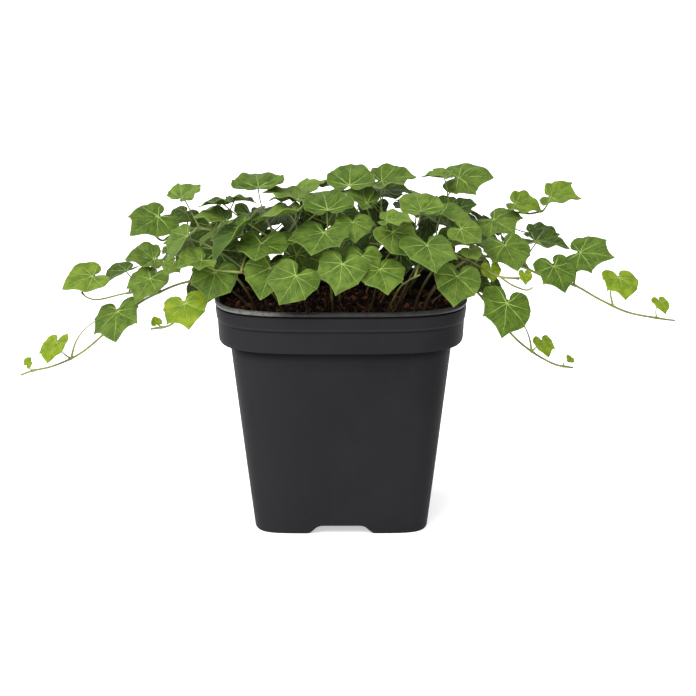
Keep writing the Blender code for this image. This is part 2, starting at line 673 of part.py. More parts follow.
def grow_back_leaves():
    """Fills the dome behind what was seen, each new leaf where the others leave most room."""
    grown = 0
    for _ in range(BACK_LEAVES * LEAF_TRIES):
        if grown == BACK_LEAVES:
            break
        spots = [back_spot() for _ in range(10)]
        joints = [leaf.joint for vine in vines for leaf in vine.leaves]
        joint, out = max(spots, key=lambda s: min((s[0] - j).length for j in joints))
        leaf = back_leaf(joint, out)
        if not within_reach(leaf) or not tucked(leaf):
            continue
        if clears("blade", None, leaf.shape(BLADE_THICK / 2 + CLEAR)):
            free = [v for v in vines if len(v.leaves) < MOST_LEAVES]
            homes = sorted(free, key=lambda v: away_from(v, leaf))[:HOMES_TRIED]
            grown += any(vine.take(leaf) for vine in homes)


def open_sights():
    """Points of the picture in the crown through which nothing of the plant is seen."""
    start = Vector((0, -VIEW_DISTANCE, VIEW_HEIGHT))
    spots = []
    for y in range(CROWN_SPOT[1] - CROWN_REACH[1], CROWN_SPOT[1] + CROWN_REACH[1], GAP_STEP):
        for x in range(CROWN_SPOT[0] - CROWN_REACH[0], CROWN_SPOT[0] + CROWN_REACH[0], GAP_STEP):
            if in_crown(x, y) and not hidden(start, sight((x, y)), placed):
                spots.append((x, y))
    return spots


def hidden(start, way, things, reach=2.0):
    return any(tree.ray_cast(start, way, reach)[0] for *_, tree in things)


def in_crown(x, y):
    across, up = (x - CROWN_SPOT[0]) / CROWN_REACH[0], (y - CROWN_SPOT[1]) / CROWN_REACH[1]
    return across ** 2 + up ** 2 < 1


def seen_spot(place):
    """Where a place was seen in the picture."""
    view = Euler((math.pi / 2 - VIEW_TILT, 0, VIEW_TURN)).to_matrix()
    local = view.inverted() @ (place - Vector((0, -VIEW_DISTANCE, VIEW_HEIGHT)))
    return (VIEW_MIDDLE + VIEW_FOCAL * local.x / -local.z, VIEW_MIDDLE - VIEW_FOCAL * local.y / -local.z)


def tucked(leaf):
    """True if the viewer sees a leaf only in the crown's gaps, or not at all, and no window is closed."""
    start = Vector((0, -VIEW_DISTANCE, VIEW_HEIGHT))
    blade = BVHTree.FromPolygons(*leaf.blade())
    if any(blade.ray_cast(start, sight(spot))[0] for spot in WINDOWS):
        return False
    for point in leaf.blade()[0]:
        away = point - start
        if not in_crown(*seen_spot(point)) and not hidden(start, away, placed, away.length * 0.99):
            return False
    return True


def grow_gap_leaves():
    """Leaves inside the dome, each where the crown is still most open to the viewer."""
    start = Vector((0, -VIEW_DISTANCE, VIEW_HEIGHT))
    spots = open_sights()
    grown = 0
    while spots and grown < GAP_LEAVES:
        near = 3 * GAP_STEP
        size = {s: sum(abs(s[0] - x) <= near and abs(s[1] - y) <= near for x, y in spots) for s in spots}
        spot = max(spots, key=size.get)
        if size[spot] < LEAST_GAP:
            break
        before = len(placed)
        if any(settle_inside(spot) for _ in range(LEAF_TRIES)):
            grown += 1
            spots = [s for s in spots if not hidden(start, sight(s), placed[before:])]
        if spot in spots:
            spots.remove(spot)


def settle_inside(spot):
    """Tries one leaf across a line of sight, with its face up and towards the viewer."""
    middle = seen_at(spot, dome_depth(spot) + draw.uniform(22, 105) * MM)
    if abs(middle.y) > BACK_REACH - 20 * MM:
        return False
    turn = draw.uniform(-1.2, 1.2)
    rise = math.radians(draw.uniform(15, 60))
    look = Vector((math.sin(turn) * math.cos(rise), -math.cos(turn) * math.cos(rise), math.sin(rise)))
    along = Vector((draw.uniform(-0.9, 0.9), -0.2, draw.uniform(-1, -0.2))).normalized()
    length = draw.uniform(16, 21) * MM
    joint = middle - along * 0.3 * length
    leaf = Leaf(joint, joint + along * length, look, draw.uniform(0, 6.28))
    if not within_reach(leaf) or not tucked(leaf):
        return False
    if not clears("blade", None, leaf.shape(BLADE_THICK / 2 + CLEAR)):
        return False
    free = [v for v in vines if len(v.leaves) < MOST_LEAVES and "crown" in v.name]
    homes = sorted(free, key=lambda v: away_from(v, leaf))[:HOMES_TRIED]
    return any(vine.take(leaf) for vine in homes)


def grow_trailing_leaves():
    """Leaves in turn on both sides of the runners behind, smaller towards their ends."""
    for vine in vines:
        if vine.name not in BACK_RUNNERS:
            continue
        path = smooth(vine.stems[0][3:], 3)
        for i, share in enumerate((0.30, 0.50, 0.70, 0.88)):
            spot = path[int(share * (len(path) - 1))]
            ahead = (path[int(share * (len(path) - 1)) + 1] - spot).normalized()
            side = ahead.cross(Vector((0, 0, 1))).normalized() * (1 if i % 2 else -1)
            width = (26 - 16 * share) * MM
            joint = spot + side * width * 0.42 + Vector((0, 0, 0.34)) * width
            along = (ahead + side * 0.7 - Vector((0, 0, 0.35))).normalized()
            look = (Vector((0, 0.5, 1)) + side * 0.3).normalized()
            leaf = Leaf(joint, joint + along * width / LEAF_WIDTH, look, draw.uniform(0, 6.28))
            if within_reach(leaf) and clears("blade", None, leaf.shape(BLADE_THICK / 2 + CLEAR)):
                vine.take(leaf)


def within_reach(leaf):
    return max(point.y for point in leaf.blade()[0]) < BACK_REACH


def back_spot():
    """A place in the back of the dome and the way out from its middle there."""
    turn = math.radians(draw.uniform(-14, 194))
    rise = math.radians(draw.choice((draw.uniform(3, 36), draw.uniform(20, 80))))
    reach = draw.uniform(0.78, 1.0)
    out = Vector((math.cos(turn) * math.cos(rise), math.sin(turn) * math.cos(rise), math.sin(rise)))
    wide = Vector((122 * MM, 80 * MM, 68 * MM))
    return DOME_MIDDLE + Vector([out[i] * wide[i] * reach for i in range(3)]), out


def back_leaf(joint, out):
    """A leaf with its face up and out. It hangs the more the lower it grows on the dome."""
    flat = Vector((out.x, out.y, 0)).normalized()
    across = Vector((-flat.y, flat.x, 0)) * draw.uniform(-0.6, 0.6)
    down = Vector((0, 0, -1))
    along = (flat * (0.3 + 0.6 * out.z) + across + down * (1.1 - 0.8 * out.z)).normalized()
    length = draw.uniform(17, 22) * MM
    look = (Vector((0, 0, 0.3 + out.z)) + flat * draw.uniform(0.5, 1.0)).normalized()
    return Leaf(joint, joint + along * length, look, draw.uniform(0, 6.28))


def plain_material(name, colour, roughness):
    material = bpy.data.materials.new(name)
    material.use_nodes = True
    surface = material.node_tree.nodes["Principled BSDF"]
    surface.inputs["Base Color"].default_value = (*colour, 1)
    surface.inputs["Roughness"].default_value = roughness
    material.diffuse_color = (*colour, 1)
    return material


def mesh_object(name, points, faces, collection):
    mesh = bpy.data.meshes.new(name)
    mesh.from_pydata(points, [], faces)
    mesh.update()
    made = bpy.data.objects.new(name, mesh)
    collection.objects.link(made)
    return made


def round_profile(sides):
    """A regular outline of radius 1 in a curve, for tubes with few sides."""
    curve = bpy.data.curves.new("tube_profile", "CURVE")
    spline = curve.splines.new("POLY")
    spline.points.add(sides - 1)
    for k, point in enumerate(spline.points):
        angle = 2 * math.pi * k / sides
        point.co = (math.cos(angle), math.sin(angle), 0, 1)
    spline.use_cyclic_u = True
    return bpy.data.objects.new("tube_profile", curve)


def tube_object(name, path, radius, sides, collection, end_share=1.0):
    """A tube with filled ends as a mesh, made from a curve with a profile. Its end may be thinner."""
    curve = bpy.data.curves.new(name, "CURVE")
    curve.dimensions = "3D"
    curve.bevel_mode = "OBJECT"
    curve.bevel_object = profiles[sides]
    curve.use_fill_caps = True
    spline = curve.splines.new("POLY")
    spline.points.add(len(path) - 1)
    for point, place in zip(spline.points, path):
        point.co = (*place, 1)
        point.radius = radius
    spline.points[-1].radius = radius * end_share
    line = bpy.data.objects.new(name + "_line", curve)
    collection.objects.link(line)
    graph = bpy.context.evaluated_depsgraph_get()
    mesh = bpy.data.meshes.new_from_object(line.evaluated_get(graph))
    mesh.name = name
    welded = bmesh.new()
    welded.from_mesh(mesh)
    bmesh.ops.remove_doubles(welded, verts=welded.verts, dist=0.00001)
    bmesh.ops.recalc_face_normals(welded, faces=welded.faces)
    welded.to_mesh(mesh)
    welded.free()
    bpy.data.objects.remove(line)
    made = bpy.data.objects.new(name, mesh)
    collection.objects.link(made)
    return made


def blade_object(name, leaf, collection):
    """A leaf blade: an open surface that Solidify gives its thickness."""
    points, faces = leaf.blade()
    blade = mesh_object(name, points, faces, collection)
    thick = blade.modifiers.new("Thickness", "SOLIDIFY")
    thick.thickness = BLADE_THICK
    thick.offset = 0
    return blade


def apply_modifiers(thing):
    bpy.context.view_layer.objects.active = thing
    for modifier in list(thing.modifiers):
        bpy.ops.object.modifier_apply(modifier=modifier.name)


def joined(thing, others, operation):
    """Joins a collection to an object, or cuts it from it, and removes the collection's objects."""
    change = thing.modifiers.new("Joined", "BOOLEAN")
    change.operation = operation
    change.operand_type = "COLLECTION"
    change.collection = others
    change.solver = "EXACT"
    apply_modifiers(thing)
    for other in list(others.objects):
        bpy.data.objects.remove(other)
    bpy.data.collections.remove(others)


def make_vine(vine, material):
    extra = bpy.data.collections.new(vine.name + "_growth")
    bpy.context.scene.collection.children.link(extra)
    stem = tube_object(vine.name, vine.stems[0], vine.radius, STEM_SIDES, plant)
    for i, path in enumerate(vine.stems[1:]):
        tube_object(f"{vine.name}_shoot_{i}", path, vine.radius * 0.8, STEM_SIDES, extra)
    for i, (path, radius) in enumerate(vine.petioles):
        tube_object(f"{vine.name}_petiole_{i}", path, radius, PETIOLE_SIDES, extra, PETIOLE_END)
    for i, leaf in enumerate(vine.leaves):
        blade_object(f"{vine.name}_blade_{i}", leaf, extra)
    joined(stem, extra, "UNION")
    stem.data.materials.clear()
    stem.data.materials.append(material)
    stem.data.shade_smooth()
    stem.data.set_sharp_from_angle(angle=math.radians(30))


def notch(name, turn, collection):
    """A slanted channel under the base, which leaves the pot on its four corner feet."""
    bottom, top = NOTCH_BOTTOM / 2, NOTCH_TOP / 2
    long = BASE_HALF * 1.4
    profile = [(-bottom, -1 * MM), (bottom, -1 * MM), (bottom, 0), (top, FOOT_HEIGHT), (-top, FOOT_HEIGHT),
               (-bottom, 0)]
    points = [Vector((x, y, z)) for y in (-long, long) for x, z in profile]
    faces = [tuple(range(6)), tuple(reversed(range(6, 12)))]
    faces += [((i + 1) % 6, i, i + 6, (i + 1) % 6 + 6) for i in range(6)]
    cutter = mesh_object(name, points, faces, collection)
    cutter.rotation_euler.z = turn
    return cutter


def drill(name, x, y, z_low, z_high, radius, sides, collection):
    bpy.ops.mesh.primitive_cylinder_add(vertices=sides, radius=radius, depth=z_high - z_low,
                                        location=(x, y, (z_low + z_high) / 2))
    cutter = bpy.context.object
    cutter.name = name
    cutter.users_collection[0].objects.unlink(cutter)
    collection.objects.link(cutter)
    return cutter


def make_pot():
    pot = mesh_object("pot", *loft(pot_rings()), plant)
    cuts = bpy.data.collections.new("pot_cuts")
    bpy.context.scene.collection.children.link(cuts)
    notch("notch_front_back", 0, cuts)
    notch("notch_left_right", math.pi / 2, cuts)
    for x, y in ((0, 0), (1, 0), (-1, 0), (0, 1), (0, -1)):
        drill("drain", x * DRAIN_OFFSET, y * DRAIN_OFFSET, 0, FLOOR_TOP + 2 * MM, DRAIN_RADIUS, 10, cuts)
    joined(pot, cuts, "DIFFERENCE")
    pot.data.materials.append(plain_material("pot_plastic", (0.032, 0.032, 0.036), 0.45))
    pot.data.shade_smooth()
    pot.data.set_sharp_from_angle(angle=math.radians(35))


def make_soil():
    soil = mesh_object("soil", *loft(soil_rings()), plant)
    holes = bpy.data.collections.new("stem_holes")
    bpy.context.scene.collection.children.link(holes)
    for vine in vines:
        foot = vine.stems[0][0]
        wide = (vine.radius + HOLE_GAP) / math.cos(math.pi / 6)
        drill("hole", foot.x, foot.y, foot.z - 0.5 * MM, foot.z + 2 * HOLE_DEPTH, wide, 6, holes)
    joined(soil, holes, "DIFFERENCE")
    soil.data.materials.append(plain_material("potting_mix", (0.075, 0.035, 0.022), 0.95))


for old in list(bpy.data.objects):
    bpy.data.objects.remove(old)
plant = bpy.data.collections.new("potted_english_ivy")
bpy.context.scene.collection.children.link(plant)

profiles = {sides: round_profile(sides) for sides in (PETIOLE_SIDES, STEM_SIDES)}
vines = []
remember("pot", "pot", loft(pot_rings()))
grow_runners()
crown_vines()
remember("soil", "soil", loft(soil_rings()))
grow_seen_leaves()
grow_trailing_leaves()
grow_gap_leaves()
grow_back_leaves()
vines = [vine for vine in vines if vine.leaves]

make_pot()
make_soil()
for growing in vines:
    green = plain_material(growing.name + "_green", (0.10, 0.20, 0.05), 0.5)
    make_vine(growing, green)
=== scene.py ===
"""Potted english ivy, dressed: a moulded nursery pot, its crumbly potting mix and rooted ivy vines.

Metres, +Z up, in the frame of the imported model. The vines are placed by the same rule as in the
part, and each leaf, petiole and stem is then modelled finely in its own place.
"""

import math
import random

import bmesh
import bpy
import numpy as np
from mathutils import Euler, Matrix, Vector, noise
from mathutils.bvhtree import BVHTree


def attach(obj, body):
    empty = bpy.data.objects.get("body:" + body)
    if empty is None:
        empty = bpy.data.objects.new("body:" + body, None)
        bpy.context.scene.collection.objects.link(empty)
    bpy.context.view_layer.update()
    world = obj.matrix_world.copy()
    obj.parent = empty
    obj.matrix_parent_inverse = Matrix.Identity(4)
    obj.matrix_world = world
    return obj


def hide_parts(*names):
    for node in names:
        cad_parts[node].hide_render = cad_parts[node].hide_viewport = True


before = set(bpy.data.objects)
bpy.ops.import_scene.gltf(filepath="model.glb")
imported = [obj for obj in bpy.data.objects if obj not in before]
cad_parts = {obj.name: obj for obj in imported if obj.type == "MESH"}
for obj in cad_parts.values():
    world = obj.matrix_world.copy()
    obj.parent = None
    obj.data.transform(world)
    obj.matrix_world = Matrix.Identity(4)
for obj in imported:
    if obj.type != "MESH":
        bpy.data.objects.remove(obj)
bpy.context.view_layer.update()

MM = 0.001

# The pot: half widths, heights and how square each level is (the exponent of a superellipse)
POT_HEIGHT = 139.1 * MM
WALL = 1.6 * MM
BASE_HALF = 53.0 * MM
BODY_TOP_HALF = 66.8 * MM
SKIRT_HALF = 73.8 * MM
STEP_HALF = 75.1 * MM
LIP_HALF = 76.2 * MM
SKIRT_BOTTOM = 115.7 * MM
STEP_HEIGHT = 129.2 * MM
BASE_SQUARE = 7.0
BODY_SQUARE = 5.0
RIM_SQUARE = 3.7
POT_SIDES = 36
FLOOR_TOP = 7.0 * MM
FOOT_HEIGHT = 5.3 * MM
NOTCH_BOTTOM = 39.0 * MM
NOTCH_TOP = 25.0 * MM
DRAIN_RADIUS = 4.5 * MM
DRAIN_OFFSET = 32.0 * MM

# Half the inner width at the floor and at the top of the body, and the ledge between body and rim
FLOOR_HALF = BASE_HALF + 0.7 * MM - WALL
INNER_TOP_HALF = BODY_TOP_HALF - WALL
LEDGE_HEIGHT = SKIRT_BOTTOM + WALL

# The potting mix: its top, its gap to the pot, how high its lumps are and their layers, how much lower it
# lies for each metre to the right, the rings of its top (share of the half width and how square it is),
# and how deep a stem stands in it
SOIL_TOP = 127.0 * MM
SOIL_GAP = 0.4 * MM
SOIL_LUMP = 1.6 * MM
SOIL_LAYERS = ((0, 55, 1.0), (0.3, 120, 0.6))
SOIL_SLOPE = 0.018
SOIL_LEVELS = ((1.0, RIM_SQUARE), (0.76, 3.2), (0.45, 2.6), (0.12, 2.0))
HOLE_DEPTH = 12.0 * MM

# The ivy as the part has it: thickness and radii, the room that a shape needs round itself, the most
# leaves and the longest petiole of a vine, and how many leaves grow at the back and inside. A draw
# between 0 and ROUND is any angle
BLADE_THICK = 0.7 * MM
PETIOLE_RADIUS = 0.62 * MM
THIN_PETIOLE = 0.72 * PETIOLE_RADIUS
RUNNER_RADIUS = 1.0 * MM
CROWN_RADIUS = 1.2 * MM
CLEAR = 0.45 * MM
MOST_LEAVES = 11
LONGEST_REACH = 65 * MM
BACK_LEAVES = 44
GAP_LEAVES = 26
LEAST_GAP = 8
SEED = 7
ROUND = 6.28

# The roots of the crown's vines in millimetres, in rows from back to front, and how far each may be off
CROWN_ROWS = {44: (-46, -16, 16, 46), 16: (-56, -28, 0, 28, 56), -14: (-20, 12, 34), -48: (-28, -1, 22)}
ROOT_SCATTER = 5
ROOT_GAP = 0.5 * MM

# How far a crown stem leans out for each metre off the middle in X and Y, how high it ends at the edge
# and how much more in the middle in millimetres, and how far out the edge is
CROWN_LEAN = (0.9, 0.62)
CROWN_EDGE = 154
CROWN_RISE = 20
CROWN_WIDE = 0.075

# How often a root and a leaf are tried again, how many vines a leaf may try, and how many of the
# nearest places on a stem its petiole may start from
ROOT_TRIES = 12
LEAF_TRIES = 30
HOMES_TRIED = 5
NEAR_STARTS = 9

# A petiole is longer than this share of its leaf, has a bend more from LONG_PETIOLE on, and is thinner
# on a leaf shorter than SMALL_LEAF
LEAST_PETIOLE = 0.35
LONG_PETIOLE = 32 * MM
SMALL_LEAF = 9 * MM
SEEN_PETIOLE_STEPS = 4

# Over the soil a petiole starts at least this high. It ends a little on from the joint, as a share of the
# leaf's length, arrives in these parts along the blade and up through it, and bends a share of its
# reach before its end
LEAST_START = SOIL_TOP + 6 * MM
JOINT_INSET = 0.06
ARRIVE_ALONG = 0.45
ARRIVE_UP = 0.85
BEND_BACK = 0.42

# Half of a leaf's outline with the joint of its petiole at (0, 0) and its tip at (0, 1), its width, where
# its midrib is highest, and how wavy, lopsided and uneven it is
HALF_LEAF = [(0.14, -0.30), (0.42, -0.40), (0.69, -0.15), (0.72, 0.22), (0.61, 0.50)]
LEAF_WIDTH = 1.46
MIDRIB_CREST = 0.34
WAVE = 0.03
LOPSIDED = 0.05
UNEVEN = 0.04
POINTS_APART = math.radians(48)

# How a leaf is curved: the rise of its midrib, the droop of the lobes' points, how far the basal lobes
# reach back, how far they bend up and how the halves roll up, for one that faces the viewer, for one
# that is turned aside and folded along its midrib, and for one that lies on the crown.
# A leaf turned by less than FOLD_TURN degrees is folded in part, and one with its face at FLAT_RISE
# degrees or more over the horizon is taken as lying
FACING = {"arch": 0.16, "droop": 0.035, "base": 1.0, "cup": -0.10, "roll": -0.17}
FOLDED = {"arch": 0.10, "droop": 0.03, "base": 1.0, "cup": -0.05, "roll": 0.30}
LYING = {"arch": 0.26, "droop": 0.07, "base": 0.68, "cup": 0.25, "roll": 0.22}
FOLD_TURN = 40
FLAT_RISE = 60

# How far a leaf is turned aside in the crown for each metre that it grows to the right
CROWN_TURN = math.radians(150)

# A facing leaf that is seen shorter than this share of its length has its basal lobes bent up towards
# the viewer, the more the shorter it is seen
CUP_FROM = 0.75
CUP_GAIN = 2.0

# The ways in which a petiole may bend on its way to a leaf: aside and up, as shares of its length
SWINGS = [(0, 0), (0, -0.18), (0.2, 0), (-0.2, 0), (0, 0.15), (0.3, -0.15), (-0.3, -0.15), (0.4, 0),
          (-0.4, 0), (0.2, 0.2), (-0.2, 0.2)]

# How far a leaf may move along its line of sight to clear the others, in millimetres, in turn
PUSHES = [0, 1, 2, 3, 4, -2, 6, 8, -4, 10, 12, 14, 18, 22, 27, 32, 38]

# The viewer, who saw the plant in a square picture of 696 by 696 points: the focal length and the middle
# are in such points
VIEW_DISTANCE = 1.0
VIEW_HEIGHT = 0.333
VIEW_TILT = math.radians(12.97)
VIEW_TURN = -0.0043
VIEW_FOCAL = 1657.45
VIEW_MIDDLE = 348.0
VIEWER = Vector((0, -VIEW_DISTANCE, VIEW_HEIGHT))

# The dome of leaves as an ellipsoid over the pot
DOME_MIDDLE = Vector((0, 0, 140 * MM))
DOME_SIZE = Vector((160 * MM, 80 * MM, 75 * MM))

# Where the leaves at the back grow: the half sizes of their own ellipsoid, how far round and up they are
# in degrees, how near to its surface, and how long they get in millimetres
BACK_SIZE = Vector((122 * MM, 80 * MM, 68 * MM))
BACK_ROUND = (-14, 194)
BACK_LOW, BACK_HIGH = (3, 36), (20, 80)
BACK_SHARES = (0.78, 1.0)
BACK_LENGTHS = (17, 22)
BACK_CHOICES = 10

# How far behind the dome's front the leaves inside grow, how far they stay from its back, and how long
# they get
INSIDE_DEPTHS = (22, 105)
INSIDE_MARGIN = 20 * MM
INSIDE_LENGTHS = (16, 21)

# The crown in the picture, where hardly any light shows through: its middle, half its size, and the
# step at which it is searched for gaps
CROWN_SPOT = (350, 242)
CROWN_REACH = (155, 56)
GAP_STEP = 4

# Spots in the crown where the picture shows the open background
WINDOWS = [(260, 206), (250, 204), (268, 205), (233, 220), (276, 226), (289, 203), (300, 202), (300, 216),
           (318, 191), (328, 188), (340, 190), (343, 197), (357, 206), (385, 199), (376, 203), (394, 203),
           (408, 213), (410, 184), (425, 185), (481, 215), (445, 229), (384, 244), (376, 250), (461, 247),
           (473, 248), (508, 269), (541, 249), (282, 248)]


def sight(spot):
    """The direction in which a point of the picture was seen, as a step of 1 in Y."""
    across = (spot[0] - VIEW_MIDDLE) / VIEW_FOCAL
    up = (VIEW_MIDDLE - spot[1]) / VIEW_FOCAL
    ahead = math.cos(VIEW_TILT) + up * math.sin(VIEW_TILT)
    rise = up * math.cos(VIEW_TILT) - math.sin(VIEW_TILT)
    x = across * math.cos(VIEW_TURN) - ahead * math.sin(VIEW_TURN)
    y = across * math.sin(VIEW_TURN) + ahead * math.cos(VIEW_TURN)
    return Vector((x / y, 1, rise / y))


def seen_at(spot, depth):
    """The place at that depth (Y) which was seen at a point of the picture."""
    return VIEWER + sight(spot) * (VIEW_DISTANCE + depth)


def dome_depth(spot):
    """Where a line of sight meets the dome of leaves, or comes nearest to it."""
    start = seen_at(spot, 0) - DOME_MIDDLE
    step = sight(spot)
    a = sum((step[i] / DOME_SIZE[i]) ** 2 for i in range(3))
    b = sum(start[i] * step[i] / DOME_SIZE[i] ** 2 for i in range(3))
    c = sum((start[i] / DOME_SIZE[i]) ** 2 for i in range(3)) - 1
    return (-b - math.sqrt(max(b * b - a * c, 0))) / a


# Runners: root on the soil in millimetres, then the points seen in the picture with their depth
RUNNERS = {
    "vine_left_low": {
        "root": (-44, -14),
        "seen": [(236, 268, -24), (214, 272.5, -24), (190, 281, -24), (177, 284.7, -23), (160, 292, -22),
                 (136.5, 305, -19), (105, 333, -14), (86.5, 349, -10), (71, 358.6, -7), (51, 366.7, -4),
                 (33, 370.6, -2), (20.7, 375, 0)],
    },
    "vine_left_front": {
        "root": (-50, -36),
        "seen": [(228, 271, -56), (208, 281, -58), (190, 303, -58), (172, 324, -56), (150.7, 329, -55)],
    },
    "vine_right_low": {
        "root": (48, -34),
        "seen": [(452, 272, -44), (466, 280, -43), (477.7, 292.6, -42), (489.6, 306, -40), (512, 334.7, -36),
                 (531.7, 351.5, -33), (554, 364, -30), (573, 367.7, -28)],
    },
    "vine_right": {
        "root": (50, -6),
        "seen": [(470, 258, -22), (500, 259, -22), (523, 266.7, -23), (543, 275.8, -24), (573.8, 285, -25),
                 (599, 299, -25), (627, 312, -25), (656.6, 318, -25), (675, 320.6, -25)],
    },
    "vine_right_upper": {
        "root": (38, 22),
        "seen": [(462, 236, 12), (487, 221, 12), (512.5, 212.7, 10), (529.5, 213.6, 8), (543, 211, 6)],
    },
    "vine_right_shoot": {
        "root": (44, -17),
        "seen": [(446, 256, -31), (468, 261, -36), (482.6, 268.5, -43), (499.5, 276.5, -48),
                 (519, 278.6, -49)],
    },
    "vine_left_upper": {
        "root": (-38, 24),
        "seen": [(226, 236, 14), (200, 228, 14), (172.5, 235, 12), (163, 240.5, 12), (156, 236, 13),
                 (154, 228, 14)],
    },
}

# Side shoots that leave a runner: the runner, then points seen in the picture with their depth
SIDE_SHOOTS = [
    ("vine_left_low", [(160, 292, -22), (129, 292.8, -24), (99.8, 299.4, -22), (88, 297.8, -20.5),
                       (82, 293, -19.5)]),
    ("vine_right_shoot", [(499.5, 276.5, -48), (512, 285, -50), (526, 290, -51), (533, 287.5, -51)]),
]

# Runners that trail behind, where the picture doesn't show them: root and points, all in millimetres.
# They stay within the depth that the front leaves reach on the viewer's side
BACK_RUNNERS = {
    "vine_back_left": [(-26, 52), (-42, 68, 158), (-62, 76, 160), (-84, 76, 156), (-104, 72, 150),
                       (-122, 68, 145)],
    "vine_back_middle": [(2, 56), (6, 72, 154), (13, 82, 150), (24, 84, 132), (34, 84, 112), (38, 83, 94)],
    "vine_back_right": [(34, 50), (52, 66, 158), (72, 74, 160), (92, 72, 157), (112, 66, 151)],
}
BACK_REACH = 87.0 * MM

# Where their leaves grow as shares of the runner, and how wide they are in millimetres at its root and
# how much less at its end
TRAILING_SHARES = (0.30, 0.50, 0.70, 0.88)
TRAILING_WIDTH = 26
TRAILING_TAPER = 16

